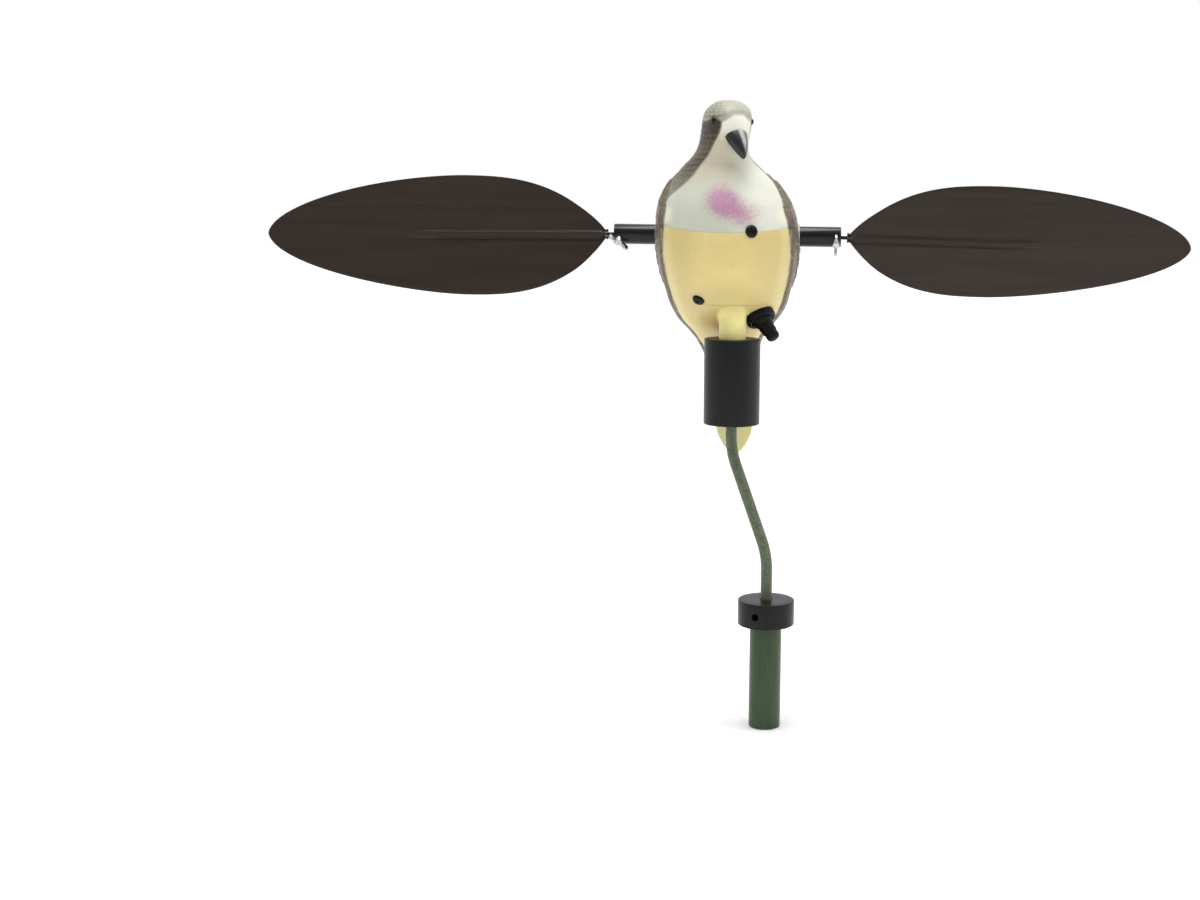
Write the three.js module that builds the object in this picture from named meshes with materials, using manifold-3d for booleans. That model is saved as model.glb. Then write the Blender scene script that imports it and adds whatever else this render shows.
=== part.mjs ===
// Motion dove decoy: a moulded dove with two spinning wing blades, standing on a bent pole adapter.
// Millimetres, +Z up. The origin is the centre of the pole's cut lower end, and the dove faces -Y.

import * as THREE from 'three';
import { mergeVertices } from 'three/addons/utils/BufferGeometryUtils.js';
import Module from 'manifold-3d';

const wasm = await Module();
wasm.setup();

// Pole and adapter
const GAP = 0.3;
const POLE_RADIUS = 11.1;
const POLE_BORE_RADIUS = 9.9;
const POLE_LENGTH = 73.7;
const PLUG_RADIUS = POLE_BORE_RADIUS - GAP;
const PLUG_LENGTH = 42;
const COLLAR_RADIUS = 19.75;
const COLLAR_BOTTOM = POLE_LENGTH + GAP;
const COLLAR_TOP = COLLAR_BOTTOM + 17.5;
const COLLAR_HOLE_RADIUS = 2.6;
const COLLAR_HOLE_DEPTH = 7;
const COLLAR_HOLE_ANGLE = THREE.MathUtils.degToRad(-112);
const CHAMFER = 0.8;
const ROUND_SIDES = 24;
const SMALL_SIDES = 14;

const ROD_RADIUS = 3.95;
const ROD_SEAT_DEPTH = 12;
const ROD_LOWER_BEND = 123;
const ROD_UPPER_BEND = 192;
const ROD_BEND_LENGTH = 11;
const SOCKET_X = -26.8;
const SOCKET_Y = 28;
const SOCKET_BOTTOM = 211.4;
const SOCKET_HEIGHT = 60.2;
const SOCKET_RADIUS = COLLAR_RADIUS;
const SOCKET_BORE_RADIUS = 9.95;
const SOCKET_FLOOR = 15.5;

// Dove, measured from the middle of the wing shaft
const SHAFT_X = -31.4;
const SHAFT_Y = 37.5;
const SHAFT_Z = 343;
const PEG_X = SOCKET_X - SHAFT_X;
const PEG_Y = SOCKET_Y - SHAFT_Y;
const PEG_RADIUS = SOCKET_BORE_RADIUS - 0.4;
const PEG_FLARE = { bottom: -61, height: 14, reach: 1.8, top: -42 };
const PEG_BOTTOM = SOCKET_BOTTOM + SOCKET_FLOOR + GAP - SHAFT_Z;
const CROWN = 91.8;
const TAIL_TIP = -171.5;
const NECK_Y = -14;
const HEAD_TURN = THREE.MathUtils.degToRad(25);
const NECK_BOTTOM = 34;
const NECK_TOP = 62;

// Wing drive and blades
const HUB_RADIUS = 7;
const HUB_INNER = 45.8;
const HUB_OUTER = 79.2;
const HUB_BORE_RADIUS = 1.6;
const HUB_BORE_DEPTH = 22;
const WIRE_RADIUS = 1.25;
const WIRE_START = HUB_OUTER - HUB_BORE_DEPTH + GAP;
const BUSHING_BORE_RADIUS = HUB_RADIUS + 0.4;
const BUSHING_RADIUS = 8.3;
const BUSHING_OUTER = 50.4;
const RECESS_FLOOR = 45.2;
const BLADE_ROOT = 83.6;
const BLADE_LENGTH = 239.5;
const BLADE_HALF_CHORD = 41.5;
const BLADE_WIDEST = 0.42;
const BLADE_HALF_THICKNESS = 0.6;
const BLADE_ROOT_HALF_CHORD = 3.6;
const BLADE_CAMBER = 2.2;
const BLADE_SKEW = 1.6;
const RIB_LENGTH = 147;
const RIB_HEIGHT = 1.8;
const RIB_HALF_WIDTH = 2.8;
const BLADE_SOCKET_DEPTH = 14;
const LEFT_BLADE_PITCH = THREE.MathUtils.degToRad(2);
const RIGHT_BLADE_PITCH = THREE.MathUtils.degToRad(20);
const LEFT_BLADE_DROOP = THREE.MathUtils.degToRad(0.7);
const RIGHT_BLADE_DROOP = THREE.MathUtils.degToRad(1);
const SCREW_PLACE = 75.6;
const SCREW_HOLE_RADIUS = 2;

// Belly cover, its screws and the switch
const COVER_TOP = 9.05;
const COVER_BOTTOM = -47.5;
const COVER_TILT = THREE.MathUtils.degToRad(7);
const COVER_BACK = -19;
const COVER_THICKNESS = 3;
const SEAM = 0.3;
const UPPER_SCREW = { height: 4, angle: THREE.MathUtils.degToRad(-67.5) };
const LOWER_SCREW = { height: -44, angle: THREE.MathUtils.degToRad(-118) };
const COVER_SCREW = { head: 4.2, shank: 1.7, length: 9, sunk: 0.6, edge: 0.9, top: 2.3, slot: 4.4 };
const SWITCH = { height: -56, angle: THREE.MathUtils.degToRad(-50) };
const SWITCH_LEAN = THREE.MathUtils.degToRad(10);
const SWITCH_BASE = { radius: 10.5, sunk: 1.2, edge: 3.4, top: 4.3 };
const SWITCH_BALL_RADIUS = 7.8;
const SWITCH_WELL_DEPTH = 5;
const SWITCH_PIVOT = 2;

const material = (color, roughness, metalness) =>
  new THREE.MeshStandardMaterial({ color, roughness, metalness });
const paintedPlastic = material(0x8c8468, 0.45, 0);
const yellowPlastic = material(0xe3cf86, 0.4, 0);
const blackRubber = material(0x1d1d1d, 0.6, 0);
const blackTube = material(0x141414, 0.25, 0);
const zinc = material(0xb8b8b8, 0.35, 0.9);
const darkSteel = material(0x2a2a2a, 0.4, 0.8);
const bladeBrown = material(0x3a2e2a, 0.5, 0);
const charcoal = material(0x323234, 0.4, 0);
const oliveCoat = material(0x4b5238, 0.7, 0);
const greenPaint = material(0x415f3c, 0.45, 0);
const paleNylon = material(0xb9b6ac, 0.5, 0);

// Closed geometry with its shared points merged
function closed(geometry) {
  geometry.deleteAttribute('normal');
  geometry.deleteAttribute('uv');
  return mergeVertices(geometry, 1e-4);
}

function toSolid(geometry) {
  const merged = closed(geometry);
  return new wasm.Manifold(new wasm.Mesh({
    numProp: 3,
    vertProperties: new Float32Array(merged.attributes.position.array),
    triVerts: new Uint32Array(merged.index.array),
  }));
}

function toGeometry(solid) {
  const mesh = solid.getMesh();
  const geometry = new THREE.BufferGeometry();
  geometry.setAttribute('position', new THREE.BufferAttribute(mesh.vertProperties, 3));
  geometry.setIndex(new THREE.BufferAttribute(mesh.triVerts, 1));
  geometry.computeVertexNormals();
  return geometry;
}

// Solid of revolution about Z from a profile of [radius, height] pairs
function turned(profile, sides) {
  const points = profile.map(([radius, height]) => new THREE.Vector2(radius, height));
  return new THREE.LatheGeometry(points, sides).rotateX(Math.PI / 2);
}

// Cylinder along Z between two heights
function bar(radius, bottom, top, sides) {
  const cylinder = new THREE.CylinderGeometry(radius, radius, top - bottom, sides);
  return cylinder.rotateX(Math.PI / 2).translate(0, 0, (top + bottom) / 2);
}

// Closed skin over rings that all have the same number of points
function loft(rings) {
  const count = rings[0].length;
  const centre = (ring) => ring.reduce((sum, p) => sum.add(p), new THREE.Vector3()).divideScalar(count);
  const points = [...rings.flat(), centre(rings[0]), centre(rings[rings.length - 1])];
  const first = count * rings.length;
  const last = first + 1;
  const top = count * (rings.length - 1);
  const faces = [];
  for (let i = 0; i < count; i += 1) {
    const j = (i + 1) % count;
    for (let k = 0; k < rings.length - 1; k += 1) {
      const a = k * count;
      const b = a + count;
      faces.push(a + i, a + j, b + j, a + i, b + j, b + i);
    }
    faces.push(first, j, i, last, top + i, top + j);
  }
  const geometry = new THREE.BufferGeometry().setFromPoints(points);
  geometry.setIndex(faces);
  return geometry;
}

// Smooth step from 0 at one end value to 1 at the other, rising or falling
function step(start, end, value) {
  const t = THREE.MathUtils.clamp((value - start) / (end - start), 0, 1);
  return t * t * (3 - 2 * t);
}

// Smooth curve through stations of [height, value], at any height between them
function curveThrough(stations) {
  const slope = (i) => {
    const low = stations[Math.max(i - 1, 0)];
    const high = stations[Math.min(i + 1, stations.length - 1)];
    return (high[1] - low[1]) / (high[0] - low[0]);
  };
  return (height) => {
    let i = 0;
    while (i < stations.length - 2 && height < stations[i + 1][0]) i += 1;
    const [top, upper] = stations[i];
    const [bottom, lower] = stations[i + 1];
    const run = bottom - top;
    const t = THREE.MathUtils.clamp((height - top) / run, 0, 1);
    const ease = t * t * (3 - 2 * t);
    const bend = slope(i) * (1 - t) * (1 - t) * t + slope(i + 1) * t * t * (t - 1);
    return upper + (lower - upper) * ease + bend * run;
  };
}

// The dove's half-width, front, back and widest line at heights from the crown to the tail tip
const halfWidth = curveThrough([
  [91.8, 4], [90.8, 7.8], [88.6, 11.6], [84.8, 14.8], [80, 15.9], [72, 16], [62, 16.4],
  [54.6, 19.4], [46, 27.6], [37.7, 34.8], [29, 39.9], [21, 43.8], [0, 47.4], [-21, 46.4], [-40, 42],
  [-50, 39.3], [-60, 34], [-72, 24.6], [-90, 17.6], [-115, 17], [-140, 15], [-154, 13.1],
  [-162.7, 9.6], [-167, 7], [-171.5, 3],
]);
const frontLine = curveThrough([
  [91.8, -17], [90.8, -21], [88.6, -26.5], [84.8, -31], [80, -34.5], [71, -36], [62, -34.5], [50, -29.5],
  [40, -34], [20, -46], [0, -50], [-20, -45], [-40, -29.5], [-60, -5], [-78, 21], [-95, 44],
  [-110, 62], [-126, 77.5], [-146, 92.5], [-171.5, 107],
]);
const backLine = curveThrough([
  [91.8, -11], [90.8, -6.5], [88.6, -2], [84.8, 3], [80, 6], [71, 7], [60, 7.5], [40, 20], [20, 34], [0, 45],
  [-40, 62], [-80, 75], [-120, 90], [-171.5, 111],
]);
const widestLine = curveThrough([
  [91.8, -14], [80, -14], [60, -14], [40, -8], [20, -1], [0, 2], [-20, 6], [-40, 15], [-60, 32],
  [-80, 51], [-100, 68], [-120, 83], [-171.5, 109],
]);

// The neck's sway to the dove's right, and the tail's to its left
const sway = curveThrough([
  [91.8, 0.4], [75, -1.2], [58, -3.3], [42, -3.4], [20, -1.6], [0, -0.2], [-50, 0.3], [-67, -0.4], [-100, 2.4],
  [-171.5, 3.6],
]);

// Point on the dove's skin; angle 0 is the dove's left side, -90 degrees its front
function skin(height, angle, inset = 0) {
  const across = Math.cos(angle);
  const along = Math.sin(angle);
  const widest = widestLine(height);
  const depth = along < 0 ? widest - frontLine(height) : backLine(height) - widest;
  const x = across * Math.max(halfWidth(height) - inset, 0.5);
  const y = widest + along * Math.max(depth - inset, 0.5);
  const turn = HEAD_TURN * step(NECK_BOTTOM, NECK_TOP, height);
  const fromNeck = y - NECK_Y;
  return new THREE.Vector3(
    sway(height) + x * Math.cos(turn) - fromNeck * Math.sin(turn),
    NECK_Y + x * Math.sin(turn) + fromNeck * Math.cos(turn),
    height,
  );
}

// Frame on the skin whose Z axis points straight out of it
function onSkin({ height, angle }, lean = 0) {
  const small = 0.01;
  const point = skin(height, angle);
  const round = skin(height, angle + small).sub(point);
  const up = skin(height + 10 * small, angle).sub(point);
  const out = round.cross(up).normalize();
  const level = new THREE.Vector3(0, 0, 1).cross(out).normalize();
  const basis = new THREE.Matrix4().makeBasis(level, out.clone().cross(level), out);
  return basis.setPosition(point).multiply(new THREE.Matrix4().makeRotationY(lean));
}

const FINE = { points: 28, slices: 32 };
const COARSE = { points: 20, slices: 18 };
function doveSkin(inset, { points, slices } = FINE) {
  const rings = [];
  for (let k = 0; k <= slices; k += 1) {
    const t = k / slices;
    const spread = 0.5 - 0.5 * Math.cos(Math.PI * t);
    const height = THREE.MathUtils.lerp(TAIL_TIP, CROWN, 0.55 * t + 0.45 * spread);
    const ring = [];
    for (let i = 0; i < points; i += 1) ring.push(skin(height, (2 * Math.PI * i) / points, inset));
    rings.push(ring);
  }
  return toSolid(loft(rings));
}

// Folded wings: flat layers that stand out from the flanks and back, parted by a furrow
const WING_OUTLINE = [
  [-20, 20], [-19, 0], [-14, -20], [-2, -38], [8, -50], [27, -66], [50, -87], [68, -106], [86, -132],
  [100, -128], [92, -96], [84, -60], [72, -10], [50, 24], [24, 42], [-4, 44],
];
const COVERT_OUTLINE = [
  [-17, 18], [-16, -2], [2, -16], [10, -34], [28, -42], [36, -56], [56, -62], [64, -76], [86, -74],
  [60, 20], [24, 38], [-4, 40],
];
const PRIMARY_HEIGHT = 1.6;
const COVERT_HEIGHT = 3;
const FURROW = { width: 12, depth: 4.5, length: 120, slope: THREE.MathUtils.degToRad(20.5), y: 66, z: -44 };
function wingLayer(outline, thickness) {
  const reach = 70;
  const shape = new THREE.Shape(outline.map(([y, z]) => new THREE.Vector2(y, z)));
  const side = new THREE.ExtrudeGeometry(shape, { depth: 2 * reach, bevelEnabled: false });
  side.rotateX(Math.PI / 2).rotateZ(Math.PI / 2).translate(-reach, 0, 0);
  const furrow = new THREE.CylinderGeometry(1, 1, FURROW.length, 4).rotateX(Math.PI / 2);
  furrow.scale(FURROW.width / 2, FURROW.depth, 1).rotateX(FURROW.slope).translate(0, FURROW.y, FURROW.z);
  return doveSkin(-thickness).intersect(toSolid(side)).subtract(toSolid(furrow));
}

// Beak, drooping and slightly hooked
const BEAK = { length: 15.3, inside: 3.3, halfWidth: 7.8, halfDepth: 5.4, tip: 0.4, sag: 2, narrowing: 0.15 };
const BEAK_DROOP = THREE.MathUtils.degToRad(48);
const BEAK_TURN = THREE.MathUtils.degToRad(8);
const BEAK_BASE = { x: -1.2, reach: 20.5, height: 65.2 };
function beak() {
  const steps = 8;
  const points = 14;
  const rings = [];
  for (let k = 0; k <= steps; k += 1) {
    const t = k / steps;
    const along = THREE.MathUtils.lerp(-BEAK.inside, BEAK.length, t);
    const width = BEAK.halfWidth * (1 - t ** 1.1) ** 0.75 + BEAK.tip;
    const depth = BEAK.halfDepth * Math.sqrt(1 - t ** 1.8) + BEAK.tip;
    const ring = [];
    for (let i = 0; i < points; i += 1) {
      const a = (2 * Math.PI * i) / points;
      const up = Math.sin(a);
      const across = width * Math.cos(a) * (1 - BEAK.narrowing * up);
      ring.push(new THREE.Vector3(across, depth * up - BEAK.sag * t * t, along));
    }
    rings.push(ring);
  }
  const geometry = loft(rings);
  geometry.rotateX(Math.PI / 2 + BEAK_DROOP).rotateZ(BEAK_TURN);
  geometry.translate(0, -BEAK_BASE.reach, BEAK_BASE.height);
  geometry.rotateZ(HEAD_TURN).translate(BEAK_BASE.x, NECK_Y, 0);
  return toSolid(geometry);
}

const EYE = { radius: 2.6, height: 77.5, angle: THREE.MathUtils.degToRad(62), depth: 1.2 };
function eye(side) {
  const place = skin(EYE.height, side * EYE.angle - Math.PI / 2, EYE.depth);
  return toSolid(new THREE.SphereGeometry(EYE.radius, 12, 8).translate(place.x, place.y, place.z));
}

// Peg that stands in the socket, with a flared root that runs out into the belly
function peg() {
  const { bottom, height, reach, top } = PEG_FLARE;
  const profile = [[0, PEG_BOTTOM], [PEG_RADIUS, PEG_BOTTOM], [PEG_RADIUS, bottom]];
  for (const t of [0.5, 0.75, 1]) profile.push([PEG_RADIUS + reach * t ** 2.2, bottom + height * t]);
  profile.push([PEG_RADIUS + reach, top], [0, top]);
  return toSolid(turned(profile, ROUND_SIDES).translate(PEG_X, PEG_Y, 0));
}

function drumAlongX(radius, inner, outer, sides) {
  return toSolid(bar(radius, inner, outer, sides).rotateY(Math.PI / 2));
}

function screwSeat(place) {
  const { head, shank, length, sunk } = COVER_SCREW;
  const seat = toSolid(bar(head + GAP, -sunk - GAP, OUTSIDE, SMALL_SIDES));
  const hole = toSolid(bar(shank + GAP, -length - GAP, 0, 8));
  return seat.add(hole).transform(onSkin(place).elements);
}

// How far each cut for a fitting reaches out past the skin
const OUTSIDE = 20;

// Room for the cover: in front of an upright plane, under its tilted top edge and above its bottom edge
const COVER_BLOCK = { width: 140, depth: 60, height: 90 };
function coverBlock(grow) {
  const { width, depth, height } = COVER_BLOCK;
  const block = new THREE.BoxGeometry(width, depth, height);
  block.translate(0, COVER_BACK - depth / 2 + grow, grow - height / 2);
  block.rotateX(COVER_TILT).translate(0, 0, COVER_TOP);
  const aboveBottom = new THREE.BoxGeometry(2 * width, 4 * depth, height);
  aboveBottom.translate(0, 0, COVER_BOTTOM - grow + height / 2);
  return toSolid(block).intersect(toSolid(aboveBottom));
}

const switchFrame = onSkin(SWITCH);

function doveBody() {
  let body = doveSkin(0);
  body = body.add(wingLayer(WING_OUTLINE, PRIMARY_HEIGHT)).add(wingLayer(COVERT_OUTLINE, COVERT_HEIGHT));
  body = body.add(beak()).add(eye(1)).add(eye(-1)).add(peg());
  body = body.subtract(coverBlock(SEAM).subtract(doveSkin(COVER_THICKNESS + SEAM, COARSE)));
  const mouth = RECESS_FLOOR + OUTSIDE;
  body = body.subtract(drumAlongX(BUSHING_RADIUS + GAP, RECESS_FLOOR, mouth, ROUND_SIDES));
  body = body.subtract(drumAlongX(BUSHING_RADIUS + GAP, -mouth, -RECESS_FLOOR, ROUND_SIDES));
  body = body.subtract(screwSeat(UPPER_SCREW)).subtract(screwSeat(LOWER_SCREW));
  const seat = toSolid(bar(SWITCH_BASE.radius + GAP, -SWITCH_BASE.sunk - GAP, OUTSIDE, ROUND_SIDES));
  const well = toSolid(bar(SWITCH_BALL_RADIUS + 0.8, -SWITCH_WELL_DEPTH, 0, ROUND_SIDES));
  return body.subtract(seat.add(well).transform(switchFrame.elements));
}

function bellyCover() {
  const cover = doveSkin(0).intersect(coverBlock(0)).subtract(doveSkin(COVER_THICKNESS, COARSE));
  return cover.subtract(screwSeat(UPPER_SCREW)).subtract(screwSeat(LOWER_SCREW));
}

// Pan head with a cross recess on a short shank
function coverScrew() {
  const { head, shank, length, sunk, edge, top, slot } = COVER_SCREW;
  let screw = toSolid(turned([
    [0, -length], [shank, -length], [shank, -sunk], [head, -sunk], [head, edge], [head * 0.8, top - 0.4], [0, top],
  ], SMALL_SIDES));
  for (const turn of [0.5, 0.5 + Math.PI / 2]) {
    const cut = new THREE.BoxGeometry(slot, 1, top).rotateZ(turn).translate(0, 0, 1.2 + top / 2);
    screw = screw.subtract(toSolid(cut));
  }
  return screw;
}

function switchBase() {
  const { radius, sunk, edge, top } = SWITCH_BASE;
  const inner = SWITCH_BALL_RADIUS + 0.4;
  return turned([
    [inner, -sunk], [radius, -sunk], [radius, edge], [radius - CHAMFER, top], [inner, top], [inner, -sunk],
  ], ROUND_SIDES);
}

// Booted lever: part of a ball, two rings and a rounded finger, about its pivot
function switchLever() {
  const ball = [];
  for (let k = 0; k <= 6; k += 1) {
    const a = THREE.MathUtils.degToRad(-6 + 8 * k);
    ball.push([SWITCH_BALL_RADIUS * Math.cos(a), SWITCH_BALL_RADIUS * Math.sin(a)]);
  }
  const finger = [[5.7, 8.2], [5.2, 8.8], [5.2, 12], [4.7, 12.5], [4.7, 16], [4.1, 17.6], [2.4, 18.6], [0, 19]];
  return turned([[0, ball[0][1]], ...ball, [5.7, 5.3], ...finger], SMALL_SIDES);
}

function bushing() {
  const profile = [
    [BUSHING_BORE_RADIUS, RECESS_FLOOR + GAP], [BUSHING_RADIUS, RECESS_FLOOR + GAP],
    [BUSHING_RADIUS, BUSHING_OUTER], [BUSHING_BORE_RADIUS, BUSHING_OUTER],
    [BUSHING_BORE_RADIUS, RECESS_FLOOR + GAP],
  ];
  return turned(profile, ROUND_SIDES).rotateY(Math.PI / 2);
}

// Drive tube along +X with a bore for the wire and a threaded hole for the thumb screw
function hub(screwTurn) {
  const tube = turned([
    [0, HUB_INNER], [HUB_RADIUS, HUB_INNER], [HUB_RADIUS, HUB_OUTER - 0.5],
    [HUB_RADIUS - 0.5, HUB_OUTER], [HUB_BORE_RADIUS, HUB_OUTER],
    [HUB_BORE_RADIUS, HUB_OUTER - HUB_BORE_DEPTH], [0, HUB_OUTER - HUB_BORE_DEPTH],
  ], ROUND_SIDES).rotateY(Math.PI / 2);
  const hole = toSolid(bar(SCREW_HOLE_RADIUS, 0, HUB_RADIUS + 5, 8).rotateX(screwTurn).translate(SCREW_PLACE, 0, 0));
  return toSolid(tube).subtract(hole);
}

// Wing screw pointing along +Z from the shaft's axis
const THUMB = {
  shank: 1.7, shankTop: HUB_RADIUS + 0.4, neck: 2.8, neckTop: HUB_RADIUS + 4.6,
  foot: HUB_RADIUS + 1, reach: 8.2, top: HUB_RADIUS + 7, thickness: 1.8,
};
function thumbScrew(wingTurn) {
  const start = WIRE_RADIUS + GAP;
  const core = toSolid(turned([
    [0, start], [THUMB.shank, start], [THUMB.shank, THUMB.shankTop], [THUMB.neck, THUMB.shankTop],
    [THUMB.neck * 0.85, THUMB.neckTop], [0, THUMB.neckTop + 0.4],
  ], 10));
  const { foot, reach, top, thickness } = THUMB;
  const outline = new THREE.Shape();
  outline.moveTo(0, foot);
  outline.lineTo(reach * 0.35, foot);
  outline.quadraticCurveTo(reach * 0.9, foot + 0.4, reach, top * 0.8);
  outline.quadraticCurveTo(reach * 1.02, top, reach * 0.76, top);
  outline.quadraticCurveTo(reach * 0.46, top * 0.96, reach * 0.25, THUMB.neckTop - 0.6);
  outline.lineTo(0, THUMB.neckTop - 0.6);
  let screw = core;
  for (const side of [1, -1]) {
    const wing = new THREE.ExtrudeGeometry(outline, { depth: thickness, bevelEnabled: false, curveSegments: 3 });
    wing.translate(0, 0, -thickness / 2).rotateX(Math.PI / 2);
    if (side < 0) wing.rotateZ(Math.PI);
    screw = screw.add(toSolid(wing));
  }
  return toGeometry(screw).rotateZ(wingTurn);
}

function wire() {
  const length = BLADE_ROOT + BLADE_SOCKET_DEPTH - GAP - WIRE_START;
  return bar(WIRE_RADIUS, 0, length, 12).rotateY(Math.PI / 2);
}

// Half-chord of the leaf-shaped blade at a fraction of its length
function bladeHalfChord(t) {
  const toRoot = (BLADE_WIDEST - t) / BLADE_WIDEST;
  const toTip = (t - BLADE_WIDEST) / (1 - BLADE_WIDEST);
  const share = t < BLADE_WIDEST ? (1 - toRoot ** 2.8) ** 0.9 : (1 - toTip ** 1.6) ** 0.56;
  const root = BLADE_ROOT_HALF_CHORD * (1 - step(0, 0.03, t));
  return Math.max(BLADE_HALF_CHORD * share, root, 1);
}

// Blade along +X with its face towards -Y, cambered, with a hollow rib for the wire.
// Near the root its outline hangs a little lower than the rib.
function blade() {
  const stations = 18;
  const rings = [];
  for (let k = 0; k <= stations; k += 1) {
    const t = 0.5 - 0.5 * Math.cos((Math.PI * k) / stations);
    const chord = bladeHalfChord(t);
    const along = BLADE_LENGTH * t;
    const rise = RIB_HEIGHT * (1 - step(RIB_LENGTH * 0.75, RIB_LENGTH, along));
    const skew = BLADE_SKEW * step(0, 0.1, t) * step(0.8, 0.15, t);
    const places = [-1, -0.5, 0.5, 1].map((share) => share * chord - Math.abs(share) * skew);
    const foot = Math.min(RIB_HALF_WIDTH, chord * 0.4);
    places.splice(2, 0, -foot, -foot * 0.45, foot * 0.45, foot);
    places.sort((a, b) => a - b);
    const bow = (z) => BLADE_CAMBER * ((z / BLADE_HALF_CHORD) ** 2);
    const ribAt = (z) => rise * step(foot, foot * 0.45, Math.abs(z));
    const near = places.map((z) => new THREE.Vector3(along, bow(z) - BLADE_HALF_THICKNESS - ribAt(z), z));
    const far = places.map((z) => new THREE.Vector3(along, bow(z) + BLADE_HALF_THICKNESS + ribAt(z), z));
    rings.push([...far, ...near.reverse()]);
  }
  const socket = toSolid(bar(WIRE_RADIUS + GAP, -5, BLADE_SOCKET_DEPTH, 12).rotateY(Math.PI / 2));
  return toSolid(loft(rings)).subtract(socket);
}

function pole() {
  return turned([
    [POLE_BORE_RADIUS, 0], [POLE_RADIUS, 0], [POLE_RADIUS, POLE_LENGTH],
    [POLE_BORE_RADIUS, POLE_LENGTH], [POLE_BORE_RADIUS, 0],
  ], ROUND_SIDES);
}

function collarPlug() {
  const plugBottom = COLLAR_BOTTOM - PLUG_LENGTH;
  const seat = ROD_RADIUS + GAP;
  const body = toSolid(turned([
    [0, plugBottom], [PLUG_RADIUS - CHAMFER, plugBottom], [PLUG_RADIUS, plugBottom + CHAMFER],
    [PLUG_RADIUS, COLLAR_BOTTOM], [COLLAR_RADIUS - CHAMFER, COLLAR_BOTTOM],
    [COLLAR_RADIUS, COLLAR_BOTTOM + CHAMFER], [COLLAR_RADIUS, COLLAR_TOP - CHAMFER],
    [COLLAR_RADIUS - CHAMFER, COLLAR_TOP], [seat, COLLAR_TOP], [seat, COLLAR_TOP - ROD_SEAT_DEPTH],
    [0, COLLAR_TOP - ROD_SEAT_DEPTH],
  ], ROUND_SIDES));
  const hole = bar(COLLAR_HOLE_RADIUS, COLLAR_RADIUS - COLLAR_HOLE_DEPTH, COLLAR_RADIUS + 3, 16);
  hole.rotateY(Math.PI / 2).rotateZ(COLLAR_HOLE_ANGLE);
  hole.translate(0, 0, (COLLAR_BOTTOM + COLLAR_TOP) / 2);
  return body.subtract(toSolid(hole));
}

// Rod from the collar to the socket, bent twice in one upright plane
function bentRod() {
  const reach = Math.hypot(SOCKET_X, SOCKET_Y);
  const at = (x, z) => new THREE.Vector3(x, 0, z);
  const slope = at(reach, ROD_UPPER_BEND - ROD_LOWER_BEND).normalize().multiplyScalar(ROD_BEND_LENGTH);
  const low = at(0, ROD_LOWER_BEND);
  const high = at(reach, ROD_UPPER_BEND);
  const lowIn = at(0, ROD_LOWER_BEND - ROD_BEND_LENGTH);
  const highOut = at(reach, ROD_UPPER_BEND + ROD_BEND_LENGTH);
  const lowOut = low.clone().add(slope);
  const highIn = high.clone().sub(slope);
  const path = new THREE.CurvePath();
  path.add(new THREE.LineCurve3(at(0, COLLAR_TOP - ROD_SEAT_DEPTH + GAP), lowIn));
  path.add(new THREE.QuadraticBezierCurve3(lowIn, low, lowOut));
  path.add(new THREE.LineCurve3(lowOut, highIn));
  path.add(new THREE.QuadraticBezierCurve3(highIn, high, highOut));
  path.add(new THREE.LineCurve3(highOut, at(reach, SOCKET_BOTTOM + ROD_SEAT_DEPTH - GAP)));
  const section = new THREE.Shape().absarc(0, 0, ROD_RADIUS, 0, 2 * Math.PI);
  const rod = new THREE.ExtrudeGeometry(section, { extrudePath: path, steps: 24, curveSegments: 4 });
  return rod.rotateZ(Math.atan2(SOCKET_Y, SOCKET_X));
}

function socket() {
  const seat = ROD_RADIUS + GAP;
  return turned([
    [0, ROD_SEAT_DEPTH], [seat, ROD_SEAT_DEPTH], [seat, 0], [SOCKET_RADIUS - CHAMFER, 0],
    [SOCKET_RADIUS, CHAMFER], [SOCKET_RADIUS, SOCKET_HEIGHT - CHAMFER],
    [SOCKET_RADIUS - CHAMFER, SOCKET_HEIGHT], [SOCKET_BORE_RADIUS, SOCKET_HEIGHT],
    [SOCKET_BORE_RADIUS, SOCKET_FLOOR], [0, SOCKET_FLOOR],
  ], ROUND_SIDES);
}

function mesh(name, shape, finish) {
  const geometry = shape.isBufferGeometry ? closed(shape) : toGeometry(shape);
  geometry.computeVertexNormals();
  const made = new THREE.Mesh(geometry, finish);
  made.name = name;
  return made;
}

function placed(group, ...meshes) {
  group.add(...meshes);
  return group;
}

function adapter() {
  const socketMesh = mesh('socket', socket(), charcoal);
  socketMesh.position.set(SOCKET_X, SOCKET_Y, SOCKET_BOTTOM);
  return placed(
    new THREE.Group(),
    mesh('pole', pole(), greenPaint),
    mesh('collar_plug', collarPlug(), charcoal),
    mesh('bent_rod', bentRod(), oliveCoat),
    socketMesh,
  );
}

// One side of the wing drive, built along +X; the left side is turned half round about Z
function wingSide(name, side, { pitch, droop, screwTurn, wingTurn }) {
  const group = new THREE.Group();
  if (side < 0) group.rotation.z = Math.PI;
  const bladeMesh = mesh(`wing_blade_${name}`, blade(), bladeBrown);
  bladeMesh.position.x = BLADE_ROOT - WIRE_START;
  bladeMesh.rotation.x = pitch;
  const drooping = placed(new THREE.Group(), mesh(`wing_wire_${name}`, wire(), darkSteel), bladeMesh);
  drooping.position.x = WIRE_START;
  drooping.rotation.y = droop;
  const screwMesh = mesh(`thumb_screw_${name}`, thumbScrew(wingTurn), zinc);
  screwMesh.position.x = SCREW_PLACE;
  screwMesh.rotation.x = screwTurn;
  return placed(
    group,
    mesh(`hub_${name}`, hub(screwTurn), blackTube),
    mesh(`bushing_${name}`, bushing(), paleNylon),
    drooping,
    screwMesh,
  );
}

function onDove(name, shape, finish, frame) {
  const made = mesh(name, shape, finish);
  made.applyMatrix4(frame);
  return made;
}

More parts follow.
